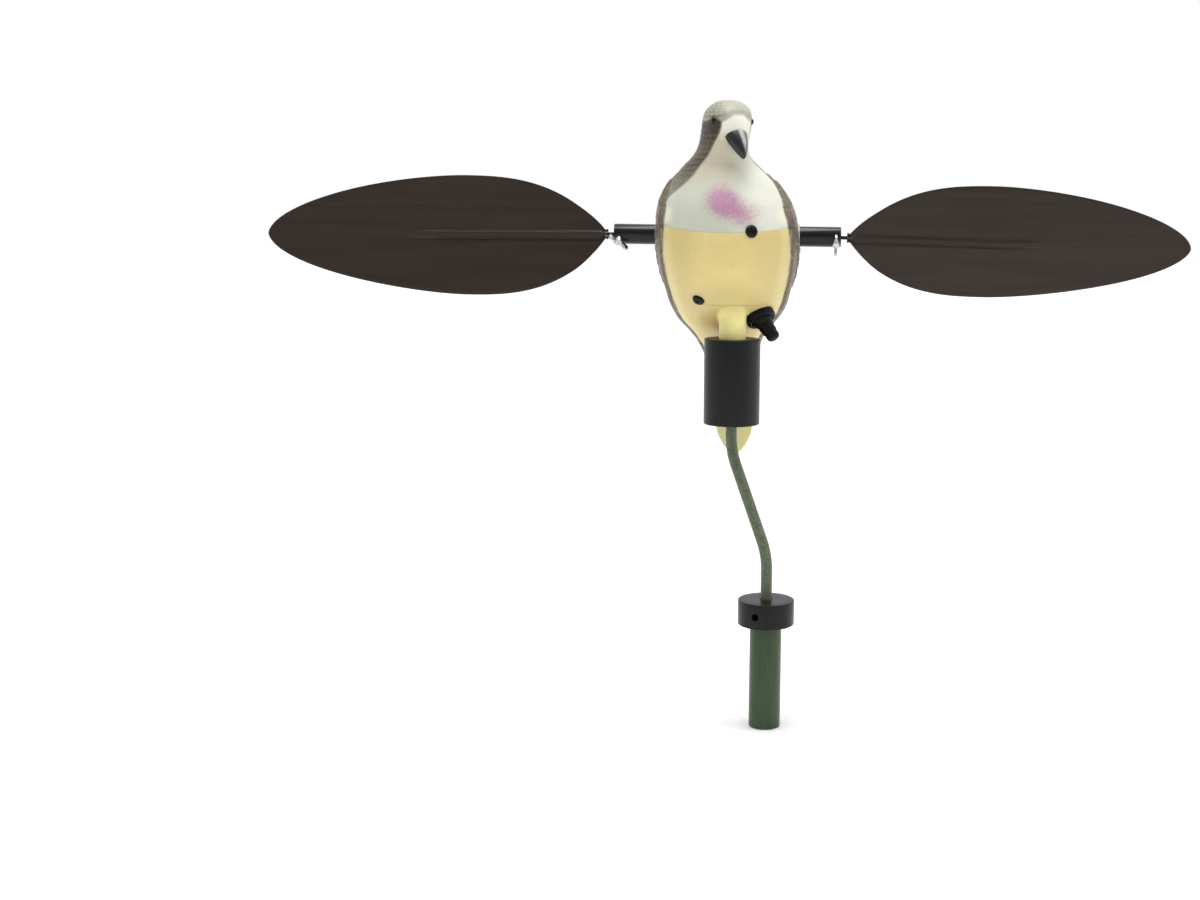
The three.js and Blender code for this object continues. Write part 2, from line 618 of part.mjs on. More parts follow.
function dove() {
  const group = new THREE.Group();
  group.position.set(SHAFT_X, SHAFT_Y, SHAFT_Z);
  const leverFrame = switchFrame.clone()
    .multiply(new THREE.Matrix4().makeTranslation(0, 0, SWITCH_PIVOT))
    .multiply(new THREE.Matrix4().makeRotationY(SWITCH_LEAN));
  const forward = THREE.MathUtils.degToRad(120);
  const rightSide = wingSide('right', 1, {
    pitch: RIGHT_BLADE_PITCH, droop: RIGHT_BLADE_DROOP, screwTurn: forward, wingTurn: Math.PI / 2,
  });
  const leftSide = wingSide('left', -1, {
    pitch: LEFT_BLADE_PITCH, droop: LEFT_BLADE_DROOP, screwTurn: -forward, wingTurn: THREE.MathUtils.degToRad(-40),
  });
  return placed(
    group,
    mesh('dove_body', doveBody(), paintedPlastic),
    mesh('belly_cover', bellyCover(), yellowPlastic),
    onDove('cover_screw_upper', coverScrew(), darkSteel, onSkin(UPPER_SCREW)),
    onDove('cover_screw_lower', coverScrew(), darkSteel, onSkin(LOWER_SCREW)),
    onDove('switch_base', switchBase(), blackRubber, switchFrame),
    onDove('switch_lever', switchLever(), blackRubber, leverFrame),
    rightSide,
    leftSide,
  );
}

export default placed(new THREE.Group(), adapter(), dove());
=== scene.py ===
"""Motion dove decoy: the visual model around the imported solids, with its sizes in millimetres."""

import math

import bpy
import numpy as np
from mathutils import Matrix, Vector


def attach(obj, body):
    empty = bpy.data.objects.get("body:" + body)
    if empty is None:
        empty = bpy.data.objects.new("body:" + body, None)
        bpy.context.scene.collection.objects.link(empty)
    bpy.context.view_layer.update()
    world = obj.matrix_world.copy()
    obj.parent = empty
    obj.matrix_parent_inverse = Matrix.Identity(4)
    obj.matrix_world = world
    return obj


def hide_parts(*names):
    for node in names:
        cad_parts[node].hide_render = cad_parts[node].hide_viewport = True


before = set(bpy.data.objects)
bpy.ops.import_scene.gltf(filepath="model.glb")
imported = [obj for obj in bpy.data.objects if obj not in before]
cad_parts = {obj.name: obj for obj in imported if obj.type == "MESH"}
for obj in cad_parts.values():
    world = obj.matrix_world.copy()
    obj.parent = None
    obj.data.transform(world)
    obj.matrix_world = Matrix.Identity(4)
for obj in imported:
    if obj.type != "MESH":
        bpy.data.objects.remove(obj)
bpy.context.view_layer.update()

MM = 0.001
GAP = 0.3

# Pole and adapter
POLE_RADIUS = 11.1
POLE_BORE_RADIUS = 9.9
POLE_LENGTH = 73.7
PLUG_RADIUS = POLE_BORE_RADIUS - GAP
PLUG_LENGTH = 42
COLLAR_RADIUS = 19.75
COLLAR_BOTTOM = POLE_LENGTH + GAP
COLLAR_TOP = COLLAR_BOTTOM + 17.5
COLLAR_HOLE_RADIUS = 2.6
COLLAR_HOLE_DEPTH = 7
COLLAR_HOLE_ANGLE = math.radians(-112)
ROD_RADIUS = 3.95
ROD_SEAT_DEPTH = 12
ROD_LOWER_BEND = 123
ROD_UPPER_BEND = 192
ROD_BEND_LENGTH = 11
SOCKET_X = -26.8
SOCKET_Y = 28
SOCKET_BOTTOM = 211.4
SOCKET_HEIGHT = 60.2
SOCKET_RADIUS = COLLAR_RADIUS
SOCKET_BORE_RADIUS = 9.95
SOCKET_FLOOR = 15.5
EDGE = 0.8

# Dove, measured from the middle of the wing shaft
SHAFT = Vector((-31.4, 37.5, 343))
PEG_X = SOCKET_X - SHAFT.x
PEG_Y = SOCKET_Y - SHAFT.y
PEG_RADIUS = SOCKET_BORE_RADIUS - 0.4
FLARE_BOTTOM = -61
FLARE_HEIGHT = 14
FLARE_TOP = -42
FLARE_REACH = 1.8
FLARE_POWER = 2.2
PEG_BOTTOM = SOCKET_BOTTOM + SOCKET_FLOOR + GAP - SHAFT.z
CROWN = 91.8
TAIL_TIP = -171.5
NECK_Y = -14
HEAD_TURN = math.radians(25)
NECK_BOTTOM = 34
NECK_TOP = 62

# Wing drive and blades
HUB_RADIUS = 7
HUB_INNER = 45.8
HUB_OUTER = 79.2
HUB_BORE_RADIUS = 1.6
HUB_BORE_DEPTH = 22
WIRE_RADIUS = 1.25
WIRE_START = HUB_OUTER - HUB_BORE_DEPTH + GAP
BUSHING_BORE_RADIUS = HUB_RADIUS + 0.4
BUSHING_RADIUS = 8.3
BUSHING_OUTER = 50.4
RECESS_FLOOR = 45.2
RECESS_END = 70
BLADE_ROOT = 83.6
BLADE_LENGTH = 239.5
BLADE_HALF_CHORD = 41.5
BLADE_WIDEST = 0.42
BLADE_HALF_THICKNESS = 0.6
BLADE_ROOT_HALF_CHORD = 3.6
BLADE_CAMBER = 2.2
BLADE_SKEW = 1.6
GROOVE_DEPTH = 0.35
RIB_LENGTH = 147
RIB_HEIGHT = 1.8
RIB_HALF_WIDTH = 2.8
RIB_CHORD_SHARE = 0.4
BLADE_SOCKET_DEPTH = 14
LEFT_BLADE_PITCH = math.radians(2)
RIGHT_BLADE_PITCH = math.radians(20)
LEFT_BLADE_DROOP = math.radians(0.7)
RIGHT_BLADE_DROOP = math.radians(1)
SCREW_PLACE = 75.6
SCREW_HOLE_RADIUS = 2
LOBE_REACH = 8.2
LOBE_HALF_THICKNESS = 0.9

# Belly cover, its screws and the switch
COVER_TOP = 9.05
COVER_BOTTOM = -47.5
COVER_TILT = math.radians(7)
COVER_BACK = -19
COVER_THICKNESS = 3
SEAM = 0.12
UPPER_SCREW = (4, math.radians(-67.5))
LOWER_SCREW = (-44, math.radians(-118))
SCREW_HEAD_RADIUS = 4.2
SCREW_SHANK_RADIUS = 1.7
SCREW_LENGTH = 9
SCREW_SUNK = 0.6
SCREW_TIP_ROOM = 0.4
SCREW_HEAD_TOP = 2.3
SCREW_SLOT = (2.2, 0.5)
SCREW_SLOT_FLOOR = 1.2
SCREW_SLOT_TOP = 3.6
SEAT_CLEARANCE = 8
SWITCH = (-56, math.radians(-50))
SWITCH_LEAN = math.radians(10)
SWITCH_BASE_RADIUS = 10.5
SWITCH_BASE_SUNK = 1.2
SWITCH_BASE_TOP = 4.3
SWITCH_BASE_EDGE = 0.9
SWITCH_SEAT_TOP = 20
SWITCH_BALL_RADIUS = 7.8
SWITCH_BALL_ROOM = 0.4
SWITCH_WELL_ROOM = 0.8
SWITCH_WELL_DEPTH = 5
SWITCH_PIVOT = 2

FINE_SIDES = 96
DOVE_RINGS = 330
DOVE_POINTS = 280
INNER_SKIN = (120, 96)


def smooth_step(start, end, value):
    """0 at start and 1 at end, rising or falling."""
    t = np.clip((value - start) / (end - start), 0, 1)
    return t * t * (3 - 2 * t)


def curve_through(*stations):
    """Smooth curve through stations of (height, value), listed from the top down."""
    heights, values = np.array(stations, float).T
    last = len(heights) - 1
    below = np.minimum(np.arange(last + 1) + 1, last)
    above = np.maximum(np.arange(last + 1) - 1, 0)
    slopes = (values[below] - values[above]) / (heights[below] - heights[above])

    def at(height):
        i = np.clip(np.searchsorted(-heights, -np.asarray(height, float), side="right") - 1, 0, last - 1)
        run = heights[i + 1] - heights[i]
        t = np.clip((height - heights[i]) / run, 0, 1)
        ease = t * t * (3 - 2 * t)
        bend = slopes[i] * (1 - t) ** 2 * t + slopes[i + 1] * t * t * (t - 1)
        return values[i] + (values[i + 1] - values[i]) * ease + bend * run

    return at


half_width = curve_through(
    (91.8, 4), (90.8, 7.8), (88.6, 11.6), (84.8, 14.8), (80, 15.9), (72, 16), (62, 16.4),
    (54.6, 19.4), (46, 27.6), (37.7, 34.8), (29, 39.9), (21, 43.8), (0, 47.4), (-21, 46.4), (-40, 42),
    (-50, 39.3), (-60, 34), (-72, 24.6), (-90, 17.6), (-115, 17), (-140, 15), (-154, 13.1),
    (-162.7, 9.6), (-167, 7), (-171.5, 3),
)
front_line = curve_through(
    (91.8, -17), (90.8, -21), (88.6, -26.5), (84.8, -31), (80, -34.5), (71, -36), (62, -34.5), (50, -29.5),
    (40, -34), (20, -46), (0, -50), (-20, -45), (-40, -29.5), (-60, -5), (-78, 21), (-95, 44),
    (-110, 62), (-126, 77.5), (-146, 92.5), (-171.5, 107),
)
back_line = curve_through(
    (91.8, -11), (90.8, -6.5), (88.6, -2), (84.8, 3), (80, 6), (71, 7), (60, 7.5), (40, 20), (20, 34),
    (0, 45), (-40, 62), (-80, 75), (-120, 90), (-171.5, 111),
)
widest_line = curve_through(
    (91.8, -14), (80, -14), (60, -14), (40, -8), (20, -1), (0, 2), (-20, 6), (-40, 15), (-60, 32),
    (-80, 51), (-100, 68), (-120, 83), (-171.5, 109),
)
sway = curve_through(
    (91.8, 0.4), (75, -1.2), (58, -3.3), (42, -3.4), (20, -1.6), (0, -0.2), (-50, 0.3), (-67, -0.4),
    (-100, 2.4), (-171.5, 3.6),
)


def skin(height, angle, inset=0.0):
    """Points on the dove's skin; angle 0 is its left side, and -90 degrees its front."""
    across, along = np.cos(angle), np.sin(angle)
    widest = widest_line(height)
    depth = np.where(along < 0, widest - front_line(height), back_line(height) - widest)
    x = across * np.maximum(half_width(height) - inset, 0.5)
    y = widest + along * np.maximum(depth - inset, 0.5)
    turn = HEAD_TURN * smooth_step(NECK_BOTTOM, NECK_TOP, height)
    from_neck = y - NECK_Y
    return np.stack([
        sway(height) + x * np.cos(turn) - from_neck * np.sin(turn),
        NECK_Y + x * np.sin(turn) + from_neck * np.cos(turn),
        height + 0 * x,
    ], axis=-1)


def on_skin(place, lean=0.0):
    """Matrix in metres of a frame on the skin, whose Z axis points straight out of it."""
    height, angle = place
    small = 0.01
    point = Vector(skin(height, angle))
    around = Vector(skin(height, angle + small)) - point
    up = Vector(skin(height + 10 * small, angle)) - point
    out = around.cross(up).normalized()
    level = Vector((0, 0, 1)).cross(out).normalized()
    axes = Matrix((level, out.cross(level), out)).transposed().to_4x4()
    return Matrix.Translation(point * MM) @ axes @ Matrix.Rotation(lean, 4, "Y")


# Meshes

def new_piece(name, points, faces, smooth=True):
    """An object from points in millimetres."""
    mesh = bpy.data.meshes.new(name)
    mesh.from_pydata((np.asarray(points, float) * MM).tolist(), [], faces)
    mesh.validate()
    if smooth:
        mesh.shade_smooth()
    piece = bpy.data.objects.new(name, mesh)
    bpy.context.scene.collection.objects.link(piece)
    return piece


def loft(name, rings, capped=True):
    """Closed skin over rings of the same number of points, each an array of shape (points, 3)."""
    rings = np.asarray(rings, float)
    count, points = rings.shape[:2]
    i = np.arange(points)
    j = (i + 1) % points
    faces = []
    for k in range(count - 1 if capped else count):
        a, b = k * points, ((k + 1) % count) * points
        faces += np.stack([a + i, a + j, b + j, b + i], axis=1).tolist()
    verts = rings.reshape(-1, 3)
    if capped:
        first, top = count * points, (count - 1) * points
        verts = np.vstack([verts, rings[0].mean(0), rings[-1].mean(0)])
        faces += np.stack([np.full(points, first), j, i], axis=1).tolist()
        faces += np.stack([np.full(points, first + 1), top + i, top + j], axis=1).tolist()
    return new_piece(name, verts, faces)


def turned(name, profile, sides=FINE_SIDES):
    """Solid of revolution about Z from (radius, height) pairs that go up its outside."""
    angles = np.linspace(0, 2 * math.pi, sides, endpoint=False)
    open_ended = profile[0][0] == 0
    inner = profile[1:-1] if open_ended else profile[:-1]
    rings = [[(r * math.cos(a), r * math.sin(a), z) for a in angles] for r, z in inner]
    piece = loft(name, rings, capped=open_ended)
    if open_ended:
        count = len(piece.data.vertices)
        piece.data.vertices[count - 2].co = (0, 0, profile[0][1] * MM)
        piece.data.vertices[count - 1].co = (0, 0, profile[-1][1] * MM)
    return piece


def bar(radius, bottom, top, sides=48):
    return turned("cutter", [(0, bottom), (radius, bottom), (radius, top), (0, top)], sides)


def rounded(corners, radius, steps=4):
    """Profile with each inner corner rounded off."""
    points = [corners[0]]
    for before, corner, after in zip(corners, corners[1:], corners[2:]):
        c = Vector(corner)
        towards = [Vector(p) - c for p in (before, after)]
        reach = min(radius, *(0.45 * v.length for v in towards))
        start, end = (c + v.normalized() * reach for v in towards)
        for k in range(steps + 1):
            t = k / steps
            points.append(tuple((1 - t) ** 2 * start + 2 * t * (1 - t) * c + t * t * end))
    return points + [corners[-1]]


def block(low, high):
    corners = [(x, y, z) for x in (low[0], high[0]) for y in (low[1], high[1]) for z in (low[2], high[2])]
    faces = [(0, 1, 3, 2), (4, 6, 7, 5), (0, 4, 5, 1), (2, 3, 7, 6), (0, 2, 6, 4), (1, 5, 7, 3)]
    return new_piece("cutter", corners, faces, smooth=False)


def moved(piece, matrix):
    piece.data.transform(matrix)
    if matrix.determinant() < 0:
        piece.data.flip_normals()
    return piece


def turned_about(axis, angle):
    return Matrix.Rotation(angle, 4, axis)


def shifted(x=0.0, y=0.0, z=0.0):
    return Matrix.Translation(Vector((x, y, z)) * MM)


def combine(piece, operation, *others):
    """Joins, cuts or keeps what is common to piece and each other solid, which is then removed."""
    for other in others:
        modifier = piece.modifiers.new("combine", "BOOLEAN")
        modifier.operation = operation
        modifier.solver = "MANIFOLD"
        modifier.object = other
        bpy.context.view_layer.update()
        result = bpy.data.meshes.new_from_object(piece.evaluated_get(bpy.context.evaluated_depsgraph_get()))
        piece.modifiers.clear()
        old = piece.data
        piece.data = result
        result.name = piece.name
        bpy.data.meshes.remove(old)
        bpy.data.objects.remove(other)
    return piece


def sharpen(piece, degrees=40):
    """Smooth shading with edges kept where faces meet at more than this angle."""
    piece.data.shade_smooth()
    piece.data.set_sharp_from_angle(angle=math.radians(degrees))
    return piece


TO_SHAFT = shifted(*SHAFT)
ALONG_X = turned_about("Y", math.pi / 2)


def dress(piece, name, body, slot_name, materials, *nodes):
    """Names a finished piece and ties it to its body, materials and the CAD nodes that it replaces."""
    piece.name = name
    piece.data.name = name
    for _ in materials[len(piece.data.materials):]:
        piece.data.materials.append(None)
    for index, made in enumerate(materials):
        piece.data.materials[index] = made
    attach(piece, body)
    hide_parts(*nodes)
    return piece


# Materials

def linear(red, green, blue):
    """Linear colour from 0-255 display values."""
    shares = (value / 255 for value in (red, green, blue))
    return tuple(v / 12.92 if v <= 0.04045 else ((v + 0.055) / 1.055) ** 2.4 for v in shares) + (1,)


class Nodes:
    """Short ways to add nodes to the tree of a material or a world."""

    def __init__(self, owner):
        owner.use_nodes = True
        self.tree = owner.node_tree

    def node(self, kind, inputs=(), **settings):
        made = self.tree.nodes.new(kind)
        for key, value in settings.items():
            setattr(made, key, value)
        for key, value in dict(inputs).items():
            if isinstance(value, bpy.types.NodeSocket):
                self.tree.links.new(value, made.inputs[key])
            else:
                made.inputs[key].default_value = value
        return made

    def math(self, operation, a, b):
        return self.node("ShaderNodeMath", {0: a, 1: b}, operation=operation).outputs["Value"]

    def ramp(self, value, start, end, low=0.0, high=1.0):
        """value mapped smoothly from start..end to low..high."""
        made = self.node(
            "ShaderNodeMapRange",
            {"Value": value, "From Min": start, "From Max": end, "To Min": low, "To Max": high},
            interpolation_type="SMOOTHSTEP",
        )
        return made.outputs["Result"]


class Finish(Nodes):
    """A Principled material, and short ways to link patterns to it."""

    def __init__(self, name, colour, roughness=0.5, metallic=0.0, specular=0.5):
        self.material = bpy.data.materials.new(name)
        super().__init__(self.material)
        self.shader = self.tree.nodes["Principled BSDF"]
        self.set("Base Color", linear(*colour))
        self.set("Roughness", roughness)
        self.set("Metallic", metallic)
        self.set("Specular IOR Level", specular)

    def set(self, socket, value):
        self.shader.inputs[socket].default_value = value

    def link(self, output, socket):
        self.tree.links.new(output, self.shader.inputs[socket])

    def stored(self, name, output="Fac"):
        """What the mesh's points carry under that name."""
        return self.node("ShaderNodeAttribute", attribute_name=name).outputs[output]

    def place(self, scale=(1, 1, 1)):
        """Object coordinates in metres, scaled."""
        if not hasattr(self, "coordinates"):
            self.coordinates = self.node("ShaderNodeTexCoord").outputs["Object"]
        return self.node("ShaderNodeMapping", {"Vector": self.coordinates, "Scale": scale}).outputs["Vector"]

    def noise(self, size, detail=3, stretch=(1, 1, 1), roughness=0.5):
        """Noise with features of about size millimetres."""
        scale = 1 / (size * MM)
        where = self.place(tuple(scale * s for s in stretch))
        inputs = {"Vector": where, "Scale": 1.0, "Detail": detail, "Roughness": roughness}
        return self.node("ShaderNodeTexNoise", inputs).outputs["Fac"]

    def mix(self, share, low, high):
        return self.node("ShaderNodeMix", {0: share, 6: low, 7: high}, data_type="RGBA").outputs[2]

    def bump(self, height, distance):
        """Bump of that many millimetres."""
        made = self.node("ShaderNodeBump", {"Height": height, "Distance": distance * MM, "Strength": 1.0})
        self.link(made.outputs["Normal"], "Normal")


def speckled(name, colour, darker, size, roughness, spread=0.06, bump=0.03, specular=0.5):
    """Plain surface with soft colour variation, uneven gloss and a fine grain."""
    finish = Finish(name, colour, roughness, specular=specular)
    patches = finish.noise(size, detail=4)
    finish.link(finish.mix(finish.ramp(patches, 0.35, 0.7), linear(*colour), linear(*darker)), "Base Color")
    fine = finish.noise(size * 0.12, detail=2)
    finish.link(finish.ramp(fine, 0.3, 0.7, roughness - spread, roughness + spread), "Roughness")
    finish.bump(fine, bump)
    return finish.material


def blade_paint(name, colour, darker, painted_crease_shade):
    """Paint with broad and fine lengthwise streaks, and painted shade that darkens the groove under the rib.
    """
    finish = Finish(name, colour, 0.42, specular=0.25)
    broad = finish.ramp(finish.noise(7, detail=3, stretch=(0.06, 1, 1)), 0.35, 0.65)
    fine = finish.noise(0.8, detail=3, stretch=(0.02, 1, 1))
    streaked = finish.mix(broad, linear(*colour), linear(*darker))
    streaked = finish.mix(finish.ramp(fine, 0.45, 0.75, 0, 0.3), streaked, linear(*painted_crease_shade))
    finish.link(finish.mix(finish.stored("painted_crease_shade"), streaked, linear(*painted_crease_shade)), "Base Color")
    finish.link(finish.ramp(fine, 0.3, 0.7, 0.36, 0.5), "Roughness")
    finish.bump(fine, 0.02)
    return finish.material


def beak_paint(name, colour, ridge_highlight_colour):
    """Gloss paint with a painted highlight, lighter in patches along the beak's ridge."""
    finish = Finish(name, colour, 0.26, specular=0.6)
    patches = finish.ramp(finish.noise(2.5, detail=3), 0.25, 0.6, 0.6, 1.0)
    painted_highlight = finish.math("MULTIPLY", finish.stored("ridge_highlight"), patches)
    finish.link(finish.mix(painted_highlight, linear(*colour), linear(*ridge_highlight_colour)), "Base Color")
    finish.link(finish.ramp(finish.noise(0.8), 0.3, 0.7, 0.2, 0.34), "Roughness")
    finish.bump(finish.noise(1.4), 0.02)
    return finish.material


def brushed(name, colour, darker, roughness, metallic=0.0, stretch=(1, 1, 0.03), specular=0.5):
    """Turned or drawn surface with fine lines."""
    finish = Finish(name, colour, roughness, metallic, specular)
    lines = finish.noise(0.5, detail=3, stretch=stretch)
    finish.link(finish.mix(finish.ramp(lines, 0.3, 0.7), linear(*colour), linear(*darker)), "Base Color")
    finish.link(finish.ramp(lines, 0.3, 0.7, roughness - 0.05, roughness + 0.07), "Roughness")
    finish.bump(lines, 0.02)
    return finish.material


# The dove

WING_OUTLINE = [
    (-20, 20), (-19, 0), (-14, -20), (-2, -38), (8, -50), (27, -66), (50, -87), (68, -106), (86, -132),
    (100, -128), (92, -96), (84, -60), (72, -10), (50, 24), (24, 42), (-4, 44),
]
COVERT_OUTLINE = [
    (-17, 18), (-16, -2), (2, -16), (10, -34), (28, -42), (36, -56), (56, -62), (64, -76), (86, -74),
    (60, 20), (24, 38), (-4, 40),
]
PRIMARY_HEIGHT = 1.6
COVERT_HEIGHT = 3
FURROW_HALF_WIDTH = 6
COVERT_FEATHER = (11, 9)
COVERT_RELIEF = 0.7
QUILL_SPACING = 7.5
QUILL_RELIEF = 0.8
VANE_SPACING = 6.5
VANE_RELIEF = 0.5


def inside_by(outline, y, z):
    """Distance in from the outline's edge, negative outside it."""
    nearest = np.full(y.shape, 1e9)
    inside = np.zeros(y.shape, bool)
    for (y1, z1), (y2, z2) in zip(outline, outline[1:] + outline[:1]):
        dy, dz = y2 - y1, z2 - z1
        t = np.clip(((y - y1) * dy + (z - z1) * dz) / (dy * dy + dz * dz), 0, 1)
        nearest = np.minimum(nearest, np.hypot(y - y1 - t * dy, z - z1 - t * dz))
        crosses = (z1 > z) != (z2 > z)
        inside ^= crosses & (y < (z - z1) / (dz if dz else 1e-9) * dy + y1)
    return np.where(inside, nearest, -nearest)


def scales(along, across, length, width, bulge=0.55):
    """Overlapping rounded feathers: how far along its own feather each point is, from 0 to 1."""
    row = np.floor(along / length - bulge)

    def tip(k):
        offset = 0.5 * (k % 2)
        centre = np.round(across / width - offset) + offset
        place = 2 * (across / width - centre)
        return (k + 1 + bulge * (1 - place * place)) * length

    for _ in range(2):
        row = np.where(along > tip(row), row + 1, row)
    start, end = tip(row - 1), tip(row)
    return np.clip((along - start) / np.maximum(end - start, 1e-6), 0, 1)


def dove_skin(inset, rings=DOVE_RINGS, points=DOVE_POINTS, relief=None):
    """Closed skin with its rings closer together on the breast and head than on the tail."""
    parts = ((TAIL_TIP, -100, 0.2), (-100, 30, 0.43), (30, CROWN, 0.37))
    heights = [np.linspace(low, high, round(rings * share), endpoint=False) for low, high, share in parts]
    heights = np.concatenate([*heights, [CROWN]])
    angles = np.linspace(0, 2 * math.pi, points, endpoint=False)
    height, angle = np.meshgrid(heights, angles, indexing="ij")
    if relief is not None:
        inset = inset - relief(height, angle)
    return loft("dove_skin", skin(height, angle, inset))


def wing_share(height, angle):
    """Points on the skin, and how far each lies inside the folded wing and its coverts."""
    place = skin(height, angle)
    wing = inside_by(WING_OUTLINE, place[..., 1], place[..., 2])
    coverts = inside_by(COVERT_OUTLINE, place[..., 1], place[..., 2])
    return place, wing, coverts


WING_FALL = 152
WING_RUN = 109
WING_SLOPE = math.atan2(WING_FALL, WING_RUN)
WING_SHOULDER = (-20.0, 20.0)


def wing_coordinates(place):
    """Along the folded wing from its shoulder to its tip, and across it towards the back."""
    y, z = place[..., 1] - WING_SHOULDER[0], place[..., 2] - WING_SHOULDER[1]
    along = y * math.cos(WING_SLOPE) - z * math.sin(WING_SLOPE)
    across = y * math.sin(WING_SLOPE) + z * math.cos(WING_SLOPE)
    return along, across


def head_scales(height, angle):
    """Small scales of the head and nape, and larger ones of the mantle: share along each scale."""
    girth = (angle - math.pi / 2) * np.maximum(half_width(height), 8)
    spread = 0.075 * np.maximum(height - 80, 0) ** 2
    small = scales(-height - spread, girth, 3.6, 3.8)
    large = scales(-height, girth, 8, 8)
    return np.where(height > 42, small, large)


def feather_relief(height, angle):
    """How far the wings and feathers stand out from the plain skin."""
    place, wing, coverts = wing_share(height, angle)
    along, across = wing_coordinates(place)
    side = np.abs(place[..., 0] - sway(height))
    behind = smooth_step(-0.1, 0.4, np.sin(angle))
    parted = 1 - behind * smooth_step(FURROW_HALF_WIDTH, 1, side)
    out = PRIMARY_HEIGHT * smooth_step(0, 1.4, wing)
    out = np.maximum(out, COVERT_HEIGHT * smooth_step(0, 1.6, np.minimum(coverts, wing + 0.5)))
    share = scales(along, across, *COVERT_FEATHER)
    small = COVERT_RELIEF * share * smooth_step(0, 3, coverts) * smooth_step(100, 88, along)
    strips = np.mod(across / QUILL_SPACING, 1)
    long = QUILL_RELIEF * strips * smooth_step(0, 2, wing) * smooth_step(0, -2, coverts)
    out = (out + small + long) * parted
    off_wing = smooth_step(0, -3, wing)
    nape = smooth_step(-0.35, 0.1, np.sin(angle)) * off_wing * smooth_step(-150, -140, height)
    crown = smooth_step(79, 84, height) * smooth_step(-0.97, -0.7, np.sin(angle))
    scaled = np.maximum(nape, crown)
    out = out + (0.22 + 0.2 * smooth_step(46, 30, height)) * head_scales(height, angle) * scaled
    tail = smooth_step(-105, -120, height) * smooth_step(0.1, 0.5, np.sin(angle))
    vanes = np.abs(np.mod(place[..., 0] / VANE_SPACING, 1) - 0.5) * 2
    return out + VANE_RELIEF * vanes * tail * off_wing


BEAK_LENGTH = 15.3
BEAK_INSIDE = 3.3
BEAK_HALF_WIDTH = 7.8
BEAK_HALF_DEPTH = 5.4
BEAK_TIP = 0.4
BEAK_SAG = 2
BEAK_NARROWING = 0.15
BEAK_DROOP = math.radians(48)
BEAK_TURN = math.radians(8)
BEAK_REACH = 20.5
BEAK_X = -1.2
BEAK_HEIGHT = 65.2
MOUTH_LEVEL = -0.25
MOUTH_HALF_WIDTH = 0.09
MOUTH_DENT = 0.09
EYE_RADIUS = 2.6
EYE_HEIGHT = 77.5
EYE_ANGLE = math.radians(62)
EYE_DEPTH = 1.2
TO_BEAK = (
    shifted(BEAK_X, NECK_Y, 0) @ turned_about("Z", HEAD_TURN)
    @ shifted(0, -BEAK_REACH, BEAK_HEIGHT) @ turned_about("Z", BEAK_TURN)
    @ turned_about("X", math.pi / 2 + BEAK_DROOP)
)


def beak_half_sizes(along):
    """Half-width, half-depth and sag of the beak at a distance along it."""
    t = np.clip((along + BEAK_INSIDE) / (BEAK_LENGTH + BEAK_INSIDE), 0, 1)
    width = BEAK_HALF_WIDTH * (1 - t**1.1) ** 0.75 + BEAK_TIP
    depth = BEAK_HALF_DEPTH * np.sqrt(1 - t**1.8) + BEAK_TIP
    return width, depth, BEAK_SAG * t * t


def beak():
    """Drooping hooked beak with the mouth's line along each side."""
    angles = np.linspace(0, 2 * math.pi, 64, endpoint=False)
    rings = []
    for along in np.linspace(-BEAK_INSIDE, BEAK_LENGTH, 40):
        width, depth, sag = beak_half_sizes(along)
        from_mouth = (np.sin(angles) - MOUTH_LEVEL) / MOUTH_HALF_WIDTH
        mouth = np.exp(-from_mouth ** 2) * smooth_step(BEAK_LENGTH, BEAK_LENGTH * 0.8, along)
        scale = 1 - MOUTH_DENT * mouth
        x = scale * width * np.cos(angles) * (1 - BEAK_NARROWING * np.sin(angles))
        y = scale * depth * np.sin(angles) - sag
        rings.append(np.stack([x, y, np.full(len(angles), along)], axis=1))
    return moved(loft("beak", rings), TO_BEAK)


def ball(radius, rings=24, points=32):
    profile = [(radius * math.sin(a), -radius * math.cos(a)) for a in np.linspace(0, math.pi, rings)]
    profile[0], profile[-1] = (0, -radius), (0, radius)
    return turned("ball", profile, points)


def eye_centre(side, depth=EYE_DEPTH):
    return skin(EYE_HEIGHT, side * EYE_ANGLE - math.pi / 2, depth)


def eye(side):
    return moved(ball(EYE_RADIUS), shifted(*eye_centre(side)))


def drum_along_x(radius, inner, outer):
    return moved(bar(radius, inner, outer, FINE_SIDES), ALONG_X)


def screw_seat(place):
    seat = bar(SCREW_HEAD_RADIUS + GAP, -(SCREW_SUNK + GAP), SEAT_CLEARANCE)
    combine(seat, "UNION", bar(SCREW_SHANK_RADIUS + GAP, -(SCREW_LENGTH + SCREW_TIP_ROOM), 0))
    return moved(seat, on_skin(place))


def cover_block(grow):
    width, depth, height = 140, 60, 90
    lid = block((-width / 2, COVER_BACK - depth + grow, grow - height), (width / 2, COVER_BACK + grow, grow))
    moved(lid, shifted(0, 0, COVER_TOP) @ turned_about("X", COVER_TILT))
    floor = COVER_BOTTOM - grow
    return combine(lid, "INTERSECT", block((-width, -2 * width, floor), (width, 2 * width, floor + height)))


def cover_room():
    return combine(cover_block(SEAM), "DIFFERENCE", dove_skin(COVER_THICKNESS + SEAM, *INNER_SKIN))


def peg():
    """Peg that stands in the socket, with a flared root that runs out into the belly."""
    profile = rounded([(0, PEG_BOTTOM), (PEG_RADIUS, PEG_BOTTOM), (PEG_RADIUS, FLARE_BOTTOM)], EDGE)
    for t in np.linspace(0, 1, 12):
        profile.append((PEG_RADIUS + FLARE_REACH * t**FLARE_POWER, FLARE_BOTTOM + FLARE_HEIGHT * t))
    profile += [(PEG_RADIUS + FLARE_REACH, FLARE_TOP), (0, FLARE_TOP)]
    return moved(turned("peg", profile), shifted(PEG_X, PEG_Y, 0))


